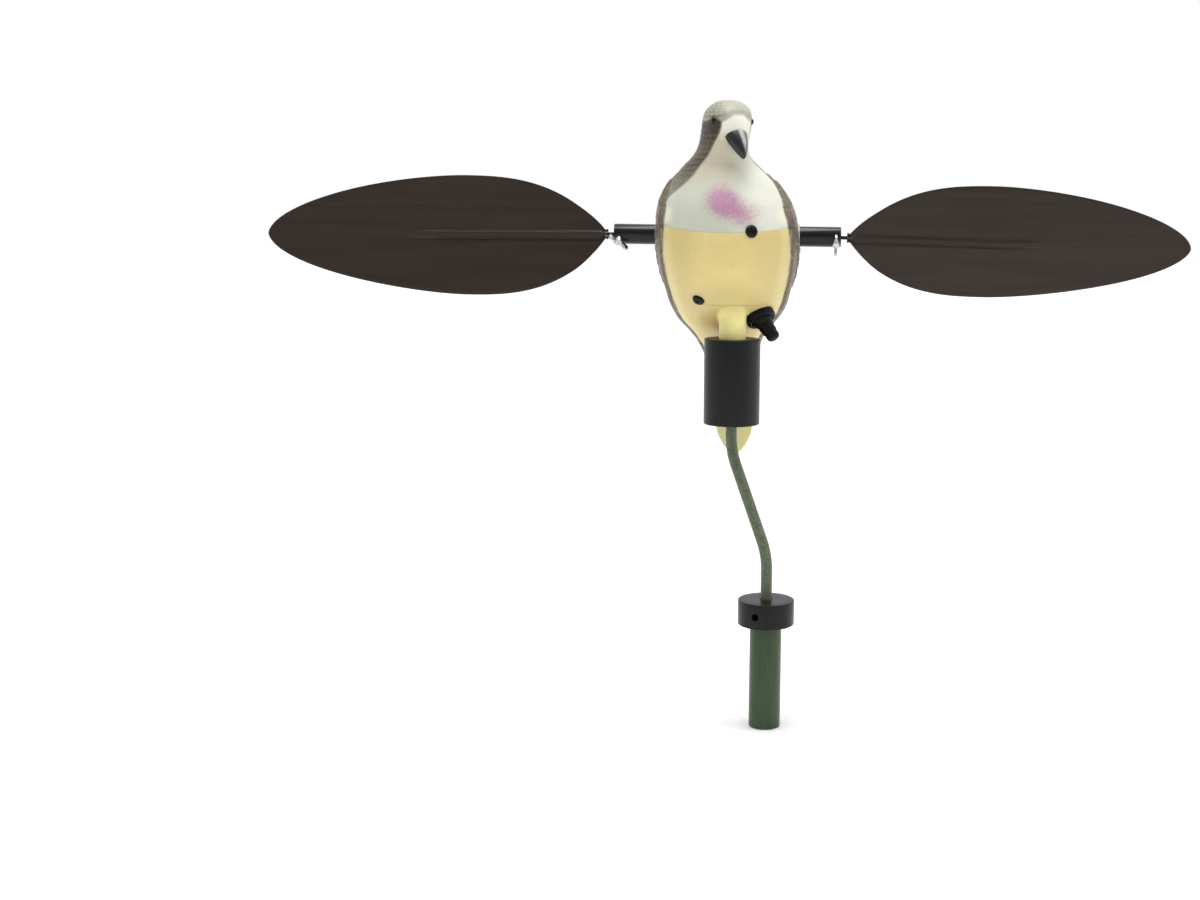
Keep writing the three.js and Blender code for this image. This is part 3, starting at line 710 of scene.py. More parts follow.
def dove_body():
    body = dove_skin(0.0, relief=feather_relief)
    combine(body, "UNION", peg())
    combine(body, "UNION", beak(), eye(1), eye(-1))
    combine(body, "DIFFERENCE", cover_room())
    combine(body, "DIFFERENCE", drum_along_x(BUSHING_RADIUS + GAP, RECESS_FLOOR, RECESS_END))
    combine(body, "DIFFERENCE", drum_along_x(BUSHING_RADIUS + GAP, -RECESS_END, -RECESS_FLOOR))
    combine(body, "DIFFERENCE", screw_seat(UPPER_SCREW), screw_seat(LOWER_SCREW))
    seat = bar(SWITCH_BASE_RADIUS + GAP, -(SWITCH_BASE_SUNK + GAP), SWITCH_SEAT_TOP)
    combine(seat, "UNION", bar(SWITCH_BALL_RADIUS + SWITCH_WELL_ROOM, -SWITCH_WELL_DEPTH, 0))
    return combine(body, "DIFFERENCE", moved(seat, on_skin(SWITCH)))


def belly_cover():
    cover = combine(dove_skin(0.0), "INTERSECT", cover_block(0))
    combine(cover, "DIFFERENCE", dove_skin(COVER_THICKNESS, *INNER_SKIN))
    return combine(cover, "DIFFERENCE", screw_seat(UPPER_SCREW), screw_seat(LOWER_SCREW))


def dove_paint(name):
    """Airbrushed plastic: the soft colours, with painted light and shade among them, come with the mesh, and
    the belly's colour line is drawn sharp.
    """
    finish = Finish(name, (200, 198, 180), 0.42, specular=0.35)
    spots = finish.ramp(finish.noise(1.9, detail=3, roughness=0.6), 0.35, 0.65, -0.1, 0.1)
    pink = finish.ramp(finish.math("ADD", finish.stored("pink"), spots), 0.0, 1.1, 0, 0.95)
    upper = finish.mix(pink, finish.stored("paint", "Color"), linear(*PINK))
    axes = finish.node("ShaderNodeSeparateXYZ", {"Vector": finish.place()})
    line = finish.math("MULTIPLY", axes.outputs["Y"], math.tan(COVER_TILT))
    start = (SHAFT.z + COVER_TOP) * MM - SHAFT.y * MM * math.tan(COVER_TILT)
    above = finish.math("SUBTRACT", finish.math("SUBTRACT", axes.outputs["Z"], line), start)
    below = finish.ramp(above, BELLY_LINE_BLUR * MM, -BELLY_LINE_BLUR * MM)
    share = finish.math("MULTIPLY", below, finish.stored("yellow"))
    coat = finish.ramp(finish.noise(22, detail=3), 0.35, 0.7, 0, 0.5)
    lower = finish.mix(coat, finish.stored("belly", "Color"), linear(*BELLY_DEEP))
    colour = finish.mix(share, upper, lower)
    grain = finish.ramp(finish.noise(1.1, detail=2), 0.45, 0.75, 0, 0.14)
    finish.link(finish.mix(grain, colour, linear(*GRAIN)), "Base Color")
    finish.link(finish.ramp(finish.noise(6, detail=3), 0.3, 0.7, 0.36, 0.5), "Roughness")
    finish.bump(finish.noise(1.2, detail=3), 0.03)
    return finish.material


def store(piece, name, kind, values):
    attribute = piece.data.attributes.new(name, kind, "POINT")
    key = "color" if kind == "FLOAT_COLOR" else "value"
    attribute.data.foreach_set(key, np.asarray(values, np.float32).ravel())


def vertices_of(piece):
    """Vertices in millimetres from the shaft."""
    flat = np.empty(len(piece.data.vertices) * 3, np.float32)
    piece.data.vertices.foreach_get("co", flat)
    return flat.reshape(-1, 3).astype(float) / MM


BELLY = (224, 206, 140)
BELLY_DEEP = (214, 192, 122)
BELLY_SHADE = (200, 181, 120)
BELLY_EDGE_HIGHLIGHT = (230, 219, 160)
PEG_PAINTED_LIGHT = (255, 246, 166)
TAIL_PALE = (192, 190, 134)
OCHRE_PAINTED_SHADE = (186, 156, 82)
BREAST = (192, 196, 178)
PALE_TIPS_AND_BREAST_LIGHT = (211, 212, 198)
SHOULDER_LIT = (227, 226, 206)
THROAT = (196, 187, 165)
FACE = (230, 227, 216)
CROWN_GREY = (166, 165, 148)
MANTLE = (72, 66, 52)
MANTLE_EDGE = (138, 134, 116)
WING_BROWN = (104, 94, 80)
WING_EDGE = (146, 136, 116)
WING_SPOT = (30, 26, 24)
QUILL = (66, 58, 50)
PINK = (170, 112, 148)
EYE_PATCH = (44, 36, 30)
GRAIN = (140, 128, 96)
BELLY_LINE_BLUR = 0.6
FACE_TOP = 79.8
BROW_HEIGHT = 83.4
WING_SPOTS = [(14, 8), (26, 18), (36, 6), (40, 26), (54, 14), (60, 30), (70, 8)]

# The dark nape and mantle reach this many degrees forward of the sides, and further on the right
# of a turned neck
mantle_reach = curve_through(
    (91.8, 30), (86, 32), (78, 38), (70, 36), (61, 29), (51, 37), (44, 34), (37, 30), (31, 25), (25, 20),
    (15, 22), (0, 21), (-12, 0), (-30, -10), (-171.5, -10),
)
mantle_twist = curve_through(
    (91.8, 0), (86, 6), (78, 10), (61, 10), (51, 10), (41, 18), (34, 15), (26, 4), (18, 0), (-171.5, 0),
)


def skin_angle(x, y, z):
    """Angle round the dove of points near its skin, with the head turned straight again."""
    turn = HEAD_TURN * smooth_step(NECK_BOTTOM, NECK_TOP, z)
    side, ahead = x - sway(z), y - NECK_Y
    across = side * np.cos(turn) + ahead * np.sin(turn)
    along = -side * np.sin(turn) + ahead * np.cos(turn) + NECK_Y - widest_line(z)
    depth = np.where(along < 0, widest_line(z) - front_line(z), back_line(z) - widest_line(z))
    return np.arctan2(along / np.maximum(depth, 1), across / np.maximum(half_width(z), 1))


class Coat:
    """Soft colours of the dove at the points of a piece, sprayed one over another."""

    def __init__(self, piece, base):
        self.x, self.y, self.z = vertices_of(piece).T
        self.angle = skin_angle(self.x, self.y, self.z)
        turned_away = np.abs(np.degrees(-self.angle) - 90)
        self.from_front = np.where(turned_away > 180, 360 - turned_away, turned_away)
        self.to_side = 90 - self.from_front
        self.front = self.to_side > 0
        self.colours = np.tile(np.array(linear(*base)[:3]), (len(self.x), 1))

    def spray(self, share, colour):
        target = np.array(linear(*colour)[:3])
        self.colours += (target - self.colours) * np.clip(share, 0, 1)[:, None]

    def around(self, x, z, wide, high):
        """1 in the middle of a soft spot on the dove's front, 0 outside it."""
        return smooth_step(1.4, 0.1, np.hypot((self.x - x) / wide, (self.z - z) / high)) * self.front

    def keep(self, piece, name):
        rows = np.column_stack([self.colours, np.ones(len(self.x))])
        store(piece, name, "FLOAT_COLOR", rows)


def spray_breast(coat):
    """Grey-white breast with painted light on its left side, a beige throat and pale shoulder patches painted
    as highlights.
    """
    # Painted light: the breast is sprayed lighter towards its left side
    coat.spray(smooth_step(-8, 26, coat.x) * smooth_step(58, 40, coat.z), PALE_TIPS_AND_BREAST_LIGHT)
    coat.spray(0.9 * smooth_step(28, 48, coat.z) * smooth_step(19, -5, coat.x), THROAT)
    # Painted highlight: pale patches at the shoulders, by the breast's edges
    patch = smooth_step(9, 2, np.abs(coat.z - 14)) * smooth_step(21, 26, coat.to_side)
    coat.spray(patch * smooth_step(44, 28, coat.to_side), SHOULDER_LIT)


def spray_head(coat):
    """White face under a grey crown, with a thin darker brow between them."""
    z, from_front = coat.z, coat.from_front
    coat.spray(smooth_step(62, 74, z) * smooth_step(50, 34, from_front), FACE)
    face_top = FACE_TOP - 0.17 * np.clip(from_front - 12, 0, 22)
    crown = smooth_step(face_top, face_top + 2.4, z)
    coat.spray(crown, CROWN_GREY)
    brow = smooth_step(1.7, 0.3, np.abs(z - BROW_HEIGHT + 0.09 * np.maximum(from_front - 17, 0)))
    coat.spray(0.55 * brow * smooth_step(64, 40, from_front), MANTLE_EDGE)
    return crown


def spray_mantle(coat, crown):
    """Dark scaled feathers of nape, mantle and flanks; returns how dark each point is."""
    side = np.sign(coat.x - sway(coat.z))
    reach = mantle_reach(coat.z) - side * mantle_twist(coat.z)
    soft = 4 + 22 * crown
    dark = smooth_step(reach + soft, reach - soft, coat.to_side)
    tips = smooth_step(0.5, 0.95, head_scales(coat.z, coat.angle)) * smooth_step(100, 40, coat.z)
    coat.spray(dark * (1 - 0.65 * crown), MANTLE)
    coat.spray(0.7 * dark * smooth_step(58, 66, coat.z) * (1 - crown), EYE_PATCH)
    coat.spray(0.62 * dark * smooth_step(50, 30, coat.z), MANTLE_EDGE)
    coat.spray(0.4 * dark * tips, MANTLE_EDGE)
    scaled_crown = smooth_step(74, 79, coat.z) * smooth_step(66, 20, coat.to_side)
    scale = head_scales(coat.z, coat.angle)
    coat.spray(0.4 * scaled_crown * smooth_step(0.6, 0.2, scale), MANTLE)
    coat.spray(0.3 * scaled_crown * smooth_step(0.45, 0.85, scale), PALE_TIPS_AND_BREAST_LIGHT)
    for eye_side in (1, -1):
        centre = eye_centre(eye_side, 0.0)
        away = np.sqrt((coat.x - centre[0]) ** 2 + (coat.y - centre[1]) ** 2 + (coat.z - centre[2] + 3) ** 2)
        coat.spray(0.95 * smooth_step(8, 3.5, away), EYE_PATCH)
    return dark


def spray_wings(coat):
    """Folded wings with pale feather edges and dark spots; returns where they are."""
    wing = inside_by(WING_OUTLINE, coat.y, coat.z)
    coverts = inside_by(COVERT_OUTLINE, coat.y, coat.z)
    on_wing = smooth_step(-0.6, 0.4, wing) * (np.abs(coat.x) > 6)
    on_coverts = smooth_step(-0.4, 0.6, coverts) * on_wing
    on_quills = on_wing * (1 - on_coverts)
    along, across = wing_coordinates(np.stack([coat.x, coat.y, coat.z], axis=-1))
    share = scales(along, across, *COVERT_FEATHER)
    strips = np.mod(across / QUILL_SPACING, 1)
    coat.spray(on_wing, WING_BROWN)
    coat.spray(on_quills * smooth_step(0.2, 0.0, strips), QUILL)
    coat.spray(on_quills * smooth_step(0.8, 0.97, strips), WING_EDGE)
    coat.spray(0.8 * on_coverts * smooth_step(0.78, 0.95, share), WING_EDGE)
    for spot_along, spot_across in WING_SPOTS:
        away = np.hypot((along - spot_along - 12) / 4.2, (across - spot_across + 2) / 2.6)
        coat.spray(0.9 * on_coverts * smooth_step(1.2, 0.8, away), WING_SPOT)
    return on_wing


def spray_tail(coat):
    """Brown upper side of the tail with dark quills and a pale tip; returns where it is."""
    tail = smooth_step(-100, -116, coat.z) * (coat.to_side < -8)
    vanes = np.abs(np.mod(coat.x / VANE_SPACING, 1) - 0.5) * 2
    coat.spray(tail, WING_BROWN)
    coat.spray(tail * smooth_step(0.85, 0.98, vanes), QUILL)
    coat.spray(tail * smooth_step(-160, -166, coat.z), PALE_TIPS_AND_BREAST_LIGHT)
    return tail


def spray_belly(coat):
    """Painted shade darkening the sides and underside, a pale left edge painted as a highlight, a pale tail,
    painted light on the peg and painted ochre shade beside it.
    """
    edges = np.maximum(smooth_step(10, 30, np.abs(coat.x)), smooth_step(-22, -42, coat.z))
    coat.spray(0.75 * edges, BELLY_SHADE)
    # Painted highlight: a pale band along the belly's edges at the sides
    coat.spray(0.62 * smooth_step(44, 26, coat.to_side), BELLY_EDGE_HIGHLIGHT)
    coat.spray(smooth_step(-75, -120, coat.z), TAIL_PALE)
    from_peg = np.hypot(coat.x - PEG_X, coat.y - PEG_Y)
    on_peg = smooth_step(PEG_RADIUS + 3, PEG_RADIUS + 0.5, from_peg)
    # Painted light: the peg and the belly just above it are sprayed lighter, against their shade
    coat.spray(on_peg * smooth_step(-44, -56, coat.z), PEG_PAINTED_LIGHT)
    coat.spray(0.22 * coat.around(PEG_X, -47, 13, 8), PEG_PAINTED_LIGHT)
    # Painted shade: ochre patches on the belly either side of the peg
    beside_peg = np.maximum(coat.around(PEG_X - 17, -60, 9, 9), coat.around(PEG_X + 16, -61, 7, 9))
    off_peg = smooth_step(PEG_RADIUS + 0.5, PEG_RADIUS + 3, from_peg)
    coat.spray(0.85 * beside_peg * off_peg, OCHRE_PAINTED_SHADE)


def paint_dove(piece):
    """Stores the upper and belly colours, and where the pink spot and the yellow can be."""
    upper = Coat(piece, BREAST)
    spray_breast(upper)
    dark = spray_mantle(upper, spray_head(upper))
    back = np.maximum(np.maximum(dark, spray_wings(upper)), spray_tail(upper))
    upper.keep(piece, "paint")
    spot = upper.around(-3.8, 24.8, 14.5, 13.5)
    spray = (
        0.42 * upper.around(8, 17, 17, 13)
        + 0.25 * upper.around(18, 17, 15, 11)
        + 0.3 * upper.around(11, 12, 9, 8)
    )
    store(piece, "pink", "FLOAT", np.clip(spot + spray, 0, 1) - 0.12)
    belly = Coat(piece, BELLY)
    spray_belly(belly)
    belly.keep(piece, "belly")
    across, up, along = beak_place(np.column_stack([upper.x, upper.y, upper.z]))
    # Painted highlight: a light grey band along the top of the beak's ridge
    ridge_highlight = smooth_step(0.55, 0.1, np.abs(across - 0.12)) * (up > 0) * smooth_step(BEAK_LENGTH, 6, along)
    store(piece, "ridge_highlight", "FLOAT", ridge_highlight)
    store(piece, "yellow", "FLOAT", 1 - back)


def set_faces(piece, index, chosen):
    """Gives faces a material index where chosen(centres in millimetres) says so."""
    centres = np.empty(len(piece.data.polygons) * 3, np.float32)
    piece.data.polygons.foreach_get("center", centres)
    indices = np.empty(len(piece.data.polygons), np.int32)
    piece.data.polygons.foreach_get("material_index", indices)
    indices[chosen(centres.reshape(-1, 3).astype(float) / MM)] = index
    piece.data.polygons.foreach_set("material_index", indices)


def beak_place(points):
    """Where points lie in the beak: across and up as shares of its half sizes, and along it."""
    back = np.array(TO_BEAK.inverted())
    x, y, along = (points * MM @ back[:3, :3].T + back[:3, 3]).T / MM
    width, depth, sag = beak_half_sizes(along)
    up = (y + sag) / depth
    return x / (width * (1 - BEAK_NARROWING * np.clip(up, -1, 1))), up, along


def on_beak(centres):
    across, up, along = beak_place(centres)
    return (across**2 + up**2 < 1.04) & (along > -BEAK_INSIDE)


def on_eyes(centres):
    found = np.zeros(len(centres), bool)
    for side in (1, -1):
        found |= np.linalg.norm(centres - eye_centre(side), axis=1) < EYE_RADIUS + 0.02
    return found


# Small parts

def cover_screw():
    radius, shank = SCREW_HEAD_RADIUS, SCREW_SHANK_RADIUS
    head = turned("screw", rounded([
        (0, -SCREW_LENGTH), (shank, -SCREW_LENGTH), (shank, -SCREW_SUNK), (radius, -SCREW_SUNK),
        (radius, 0.9), (radius * 0.8, 1.9), (0, SCREW_HEAD_TOP),
    ], 0.5), 48)
    long, wide = SCREW_SLOT
    for turn in (0.5, 0.5 + math.pi / 2):
        slot = block((-long, -wide, SCREW_SLOT_FLOOR), (long, wide, SCREW_SLOT_TOP))
        combine(head, "DIFFERENCE", moved(slot, turned_about("Z", turn)))
    return head


def switch_base():
    inner, outer, edge = SWITCH_BALL_RADIUS + SWITCH_BALL_ROOM, SWITCH_BASE_RADIUS, SWITCH_BASE_EDGE
    low, top = -SWITCH_BASE_SUNK, SWITCH_BASE_TOP
    corners = [(inner, low), (outer, low), (outer, top - edge), (outer - edge, top), (inner, top)]
    return turned("switch_base", [*rounded(corners, 0.6), (inner, low)])


def switch_lever():
    angles = np.radians(np.arange(-6, 43, 4))
    ball_part = [(SWITCH_BALL_RADIUS * math.cos(a), SWITCH_BALL_RADIUS * math.sin(a)) for a in angles]
    finger = rounded([
        (5.7, 5.3), (5.7, 8.2), (5.2, 8.8), (5.2, 12), (4.7, 12.5), (4.7, 16), (4.1, 17.6), (2.4, 18.6),
        (0, 19),
    ], EDGE)
    return turned("switch_lever", [(0, ball_part[0][1]), *ball_part, *finger], 64)


def bushing():
    inner, outer, low, high = BUSHING_BORE_RADIUS, BUSHING_RADIUS, RECESS_FLOOR + GAP, BUSHING_OUTER
    ring = turned("bushing", [(inner, low), (outer, low), (outer, high), (inner, high), (inner, low)])
    return moved(ring, ALONG_X)


def hub(screw_turn):
    tube = turned("hub", rounded([
        (0, HUB_INNER), (HUB_RADIUS, HUB_INNER), (HUB_RADIUS, HUB_OUTER), (HUB_BORE_RADIUS, HUB_OUTER),
        (HUB_BORE_RADIUS, HUB_OUTER - HUB_BORE_DEPTH), (0, HUB_OUTER - HUB_BORE_DEPTH),
    ], 0.5))
    moved(tube, ALONG_X)
    hole = bar(SCREW_HOLE_RADIUS, 0, HUB_RADIUS + 5)
    moved(hole, shifted(SCREW_PLACE) @ turned_about("X", screw_turn))
    return combine(tube, "DIFFERENCE", hole)


def wing_lobe(side):
    """Flat rounded lobe of the wing screw."""
    foot, reach, top = HUB_RADIUS + 1, LOBE_REACH, HUB_RADIUS + 7
    corners = [
        (0, foot), (reach * 0.35, foot), (reach * 0.95, foot + 0.8), (reach, top * 0.84),
        (reach * 0.86, top), (reach * 0.6, top * 0.98), (reach * 0.28, foot + 3.2), (0, foot + 3),
    ]
    edge = [Vector(point) for point in rounded(corners, 1.6)]
    middle = sum(edge, Vector((0, 0))) / len(edge)
    rings = []
    for share, depth in ((0.8, -1), (0.94, -0.8), (1, -0.4), (1, 0.4), (0.94, 0.8), (0.8, 1)):
        y = LOBE_HALF_THICKNESS * depth
        rings.append([
            (side * (middle.x + (p.x - middle.x) * share), y, middle.y + (p.y - middle.y) * share)
            for p in edge
        ])
    lobe = loft("lobe", rings)
    if side > 0:
        lobe.data.flip_normals()
    return lobe


def thumb_screw(wing_turn):
    start = WIRE_RADIUS + GAP
    core = turned("thumb_screw", rounded([
        (0, start), (1.7, start), (1.7, HUB_RADIUS + 0.4), (2.8, HUB_RADIUS + 0.4),
        (2.4, HUB_RADIUS + 4.6), (0, HUB_RADIUS + 5),
    ], 0.4), 40)
    combine(core, "UNION", wing_lobe(1), wing_lobe(-1))
    return moved(core, turned_about("Z", wing_turn))


def wire():
    length = BLADE_ROOT + BLADE_SOCKET_DEPTH - GAP - WIRE_START
    rod = turned("wire", rounded([(0, 0), (WIRE_RADIUS, 0), (WIRE_RADIUS, length), (0, length)], 0.3), 32)
    return moved(rod, ALONG_X)


def blade_half_chord(t):
    to_root = np.clip((BLADE_WIDEST - t) / BLADE_WIDEST, 0, 1)
    to_tip = np.clip((t - BLADE_WIDEST) / (1 - BLADE_WIDEST), 0, 1)
    share = np.where(t < BLADE_WIDEST, (1 - to_root**2.8) ** 0.9, (1 - to_tip**1.6) ** 0.56)
    root = BLADE_ROOT_HALF_CHORD * (1 - smooth_step(0, 0.03, t))
    return np.maximum(np.maximum(BLADE_HALF_CHORD * share, root), 1)


def blade(side):
    """Leaf-shaped blade along X, a little low near its root, with a hollow rib and a groove under it."""
    stations, half = 150, 17
    rings = []
    for k in range(stations + 1):
        t = 0.5 - 0.5 * math.cos(math.pi * k / stations)
        chord = float(blade_half_chord(t))
        along = BLADE_LENGTH * t
        rise = RIB_HEIGHT * (1 - smooth_step(RIB_LENGTH * 0.75, RIB_LENGTH, along))
        foot = min(RIB_HALF_WIDTH, chord * RIB_CHORD_SHARE)
        skew = BLADE_SKEW * float(smooth_step(0, 0.1, t) * smooth_step(0.8, 0.15, t))
        fan = np.sin(np.linspace(0, math.pi / 2, half))
        lower, upper = (foot * 2 + (chord + shift - foot * 2) * fan for shift in (skew, -skew))
        inner = foot * np.array([-1.75, -1.6, -1.45, -1.3, -1.15, -1, -0.8, -0.6, -0.45, -0.2, 0])
        z = np.concatenate([-lower[::-1], inner, -inner[9:4:-1], upper])
        bow = BLADE_CAMBER * (z / BLADE_HALF_CHORD) ** 2
        rib = rise * smooth_step(foot, foot * 0.45, np.abs(z))
        groove = GROOVE_DEPTH * rise / RIB_HEIGHT * smooth_step(0.32, 0.05, np.abs(z / foot + 1.35))
        thin = BLADE_HALF_THICKNESS * (1 - 0.7 * smooth_step(0.96, 1.0, np.abs(z + skew) / chord))
        front, back = (thin + rib, thin + rib - groove) if side < 0 else (thin + rib - groove, thin + rib)
        far = np.stack([np.full(len(z), along), bow + back, z], axis=1)
        near = np.stack([np.full(len(z), along), bow - front, z], axis=1)
        rings.append(np.vstack([far, near[::-1]]))
    hole = moved(bar(WIRE_RADIUS + GAP, -5, BLADE_SOCKET_DEPTH, 32), ALONG_X)
    piece = combine(loft("blade", rings), "DIFFERENCE", hole)
    along, _, z = vertices_of(piece).T
    foot = np.minimum(RIB_HALF_WIDTH, blade_half_chord(along / BLADE_LENGTH) * RIB_CHORD_SHARE)
    # Painted shade: darker along the groove under the rib, fading out towards the rib's end
    painted_crease_shade = np.exp(-(((z / foot + 1.25) / 0.35) ** 2))
    store(piece, "painted_crease_shade", "FLOAT", painted_crease_shade * smooth_step(RIB_LENGTH, 100, along))
    for _ in range(2):
        piece.data.materials.append(None)

    def on_back(centres):
        bow = BLADE_CAMBER * (centres[:, 2] / BLADE_HALF_CHORD) ** 2
        return side * (centres[:, 1] - bow) > 0.1

    set_faces(piece, 1, on_back)
    return piece


def pole():
    inner, outer, top = POLE_BORE_RADIUS, POLE_RADIUS, POLE_LENGTH
    wall = rounded([(inner, 0), (outer, 0), (outer, top), (inner, top)], 0.25)
    return turned("pole", [*wall, (inner, 0)])


def collar_plug():
    bottom = COLLAR_BOTTOM - PLUG_LENGTH
    seat = ROD_RADIUS + GAP
    body = turned("collar_plug", rounded([
        (0, bottom), (PLUG_RADIUS, bottom), (PLUG_RADIUS, COLLAR_BOTTOM), (COLLAR_RADIUS, COLLAR_BOTTOM),
        (COLLAR_RADIUS, COLLAR_TOP), (seat, COLLAR_TOP), (seat, COLLAR_TOP - ROD_SEAT_DEPTH),
        (0, COLLAR_TOP - ROD_SEAT_DEPTH),
    ], EDGE), 128)
    hole = bar(COLLAR_HOLE_RADIUS, COLLAR_RADIUS - COLLAR_HOLE_DEPTH, COLLAR_RADIUS + 3)
    middle = (COLLAR_BOTTOM + COLLAR_TOP) / 2
    turn = shifted(0, 0, middle) @ turned_about("Z", COLLAR_HOLE_ANGLE) @ ALONG_X
    return combine(body, "DIFFERENCE", moved(hole, turn))


def bent_rod():
    """Round rod along a path with two bends in one upright plane."""
    reach = math.hypot(SOCKET_X, SOCKET_Y)
    low, high = Vector((0, ROD_LOWER_BEND)), Vector((reach, ROD_UPPER_BEND))
    slope = (high - low).normalized() * ROD_BEND_LENGTH
    rise = Vector((0, ROD_BEND_LENGTH))
    path = [Vector((0, COLLAR_TOP - ROD_SEAT_DEPTH + GAP))]
    for before, bend, after in ((low - rise, low, low + slope), (high - slope, high, high + rise)):
        for t in (k / 12 for k in range(13)):
            path.append((1 - t) ** 2 * before + 2 * t * (1 - t) * bend + t * t * after)
    path.append(Vector((reach, SOCKET_BOTTOM + ROD_SEAT_DEPTH - GAP)))
    angles = np.linspace(0, 2 * math.pi, 40, endpoint=False)
    rings = []
    for k, at in enumerate(path):
        ahead = (path[min(k + 1, len(path) - 1)] - path[max(k - 1, 0)]).normalized()
        out = Vector((ahead.y, -ahead.x))
        wide, tall = out.x * ROD_RADIUS, out.y * ROD_RADIUS
        rings.append([
            (at.x + wide * math.cos(a), ROD_RADIUS * math.sin(a), at.y + tall * math.cos(a)) for a in angles
        ])
    return moved(loft("bent_rod", rings), turned_about("Z", math.atan2(SOCKET_Y, SOCKET_X)))


def socket():
    seat = ROD_RADIUS + GAP
    body = turned("socket", rounded([
        (0, ROD_SEAT_DEPTH), (seat, ROD_SEAT_DEPTH), (seat, 0), (SOCKET_RADIUS, 0),
        (SOCKET_RADIUS, SOCKET_HEIGHT), (SOCKET_BORE_RADIUS, SOCKET_HEIGHT),
        (SOCKET_BORE_RADIUS, SOCKET_FLOOR), (0, SOCKET_FLOOR),
    ], EDGE), 128)
    return moved(body, shifted(SOCKET_X, SOCKET_Y, SOCKET_BOTTOM))


def slot_materials():
    """Materials of each slot; set_faces says which faces take the second and third."""
    return {
        "charcoal": [brushed("charcoal_plastic", (24, 24, 25), (17, 17, 18), 0.34, specular=0.21)],
        "olive_coat": [
            speckled("olive_powder_coat", (94, 106, 84), (72, 84, 64), 1.6, 0.42, bump=0.12, specular=0.4),
        ],
        "green_paint": [brushed("green_enamel", (56, 78, 50), (46, 66, 40), 0.34, specular=0.3)],
        "black_tube": [
            speckled("gloss_black", (9, 9, 10), (6, 6, 7), 4.0, 0.2, spread=0.05, bump=0.01, specular=0.32),
        ],
        "black_rubber": [
            speckled("black_rubber", (16, 17, 17), (11, 11, 12), 2.0, 0.45, bump=0.02, specular=0.15),
        ],
        "dark_steel": [
            speckled("blackened_steel", (18, 17, 16), (11, 10, 10), 1.5, 0.35, bump=0.01, specular=0.2),
        ],
        "zinc": [
            brushed("zinc_plate", (205, 206, 208), (168, 168, 170), 0.28, metallic=1.0, stretch=(0.2, 1, 1)),
        ],
        "pale_nylon": [speckled("pale_nylon", (190, 187, 176), (172, 168, 156), 3.0, 0.5)],
        "blade_brown": [
            # The last colour of each blade paint is its painted crease shade, which also tints the fine
            # streaks
            blade_paint("blade_brown", (46, 37, 27), (42, 30, 23), (17, 14, 12)),
            blade_paint("blade_pale", (212, 209, 200), (206, 203, 193), (184, 180, 170)),
        ],
        "painted_plastic": [
            dove_paint("dove_paint"),
            # The lighter grey is the painted highlight along the beak's ridge
            beak_paint("beak_black", (8, 8, 9), (168, 170, 170)),
            speckled("eye_brown", (16, 11, 9), (10, 7, 6), 2.0, 0.2, spread=0.05, bump=0.005, specular=0.25),
        ],
    }


def build():
    materials = slot_materials()
    paints = materials["painted_plastic"]
    body = dove_body()
    paint_dove(body)
    dress(body, "dove_moulding", "root", "painted_plastic", paints, "dove_body")
    set_faces(body, 1, on_beak)
    set_faces(body, 2, on_eyes)
    moved(body, TO_SHAFT)
    cover = belly_cover()
    paint_dove(cover)
    dress(moved(cover, TO_SHAFT), "belly_panel", "root", "yellow_plastic", paints[:1], "belly_cover")
    sharpen(body)
    sharpen(cover)
    upper_screw, lower_screw = (
        moved(cover_screw(), TO_SHAFT @ on_skin(place)) for place in (UPPER_SCREW, LOWER_SCREW)
    )
    switch_at = TO_SHAFT @ on_skin(SWITCH)
    lever_at = switch_at @ shifted(0, 0, SWITCH_PIVOT) @ turned_about("Y", SWITCH_LEAN)
    pieces = [
        (upper_screw, "upper_screw", "root", "dark_steel", "cover_screw_upper"),
        (lower_screw, "lower_screw", "root", "dark_steel", "cover_screw_lower"),
        (moved(switch_base(), switch_at), "boot_base", "root", "black_rubber", "switch_base"),
        (moved(switch_lever(), lever_at), "boot_lever", "switch", "black_rubber", "switch_lever"),
        (socket(), "socket_sleeve", "root", "charcoal", "socket"),
        (bent_rod(), "bent_rod_coated", "root", "olive_coat", "bent_rod"),
        (collar_plug(), "collar_turned", "root", "charcoal", "collar_plug"),
        (pole(), "pole_tube", "root", "green_paint", "pole"),
    ]
    forward = math.radians(120)
    for name, side, pitch, blade_droop, screw_turn, lobe_turn in (
        ("right", 1, RIGHT_BLADE_PITCH, RIGHT_BLADE_DROOP, forward, math.pi / 2),
        ("left", -1, LEFT_BLADE_PITCH, LEFT_BLADE_DROOP, -forward, math.radians(-40)),
    ):
        out = TO_SHAFT @ (turned_about("Z", math.pi) if side < 0 else Matrix.Identity(4))
        droop = out @ shifted(WIRE_START) @ turned_about("Y", blade_droop)
        pitched = droop @ shifted(BLADE_ROOT - WIRE_START) @ turned_about("X", pitch)
        screw_at = out @ shifted(SCREW_PLACE) @ turned_about("X", screw_turn)
        tube = moved(hub(screw_turn), out)
        ring = moved(bushing(), out)
        rod = moved(wire(), droop)
        leaf = moved(blade(side), pitched)
        clamp = moved(thumb_screw(lobe_turn), screw_at)
        pieces += [
            (tube, "drive_tube_" + name, "wings", "black_tube", "hub_" + name),
            (ring, "bushing_ring_" + name, "root", "pale_nylon", "bushing_" + name),
            (rod, "wire_" + name, "wings", "dark_steel", "wing_wire_" + name),
            (leaf, "blade_" + name, "wings", "blade_brown", "wing_blade_" + name),
            (clamp, "wing_screw_" + name, "wings", "zinc", "thumb_screw_" + name),
        ]
    for piece, name, rides, slot_name, node in pieces:
        dress(piece, name, rides, slot_name, materials[slot_name], node)
        sharpen(piece)


# Camera, floor and light

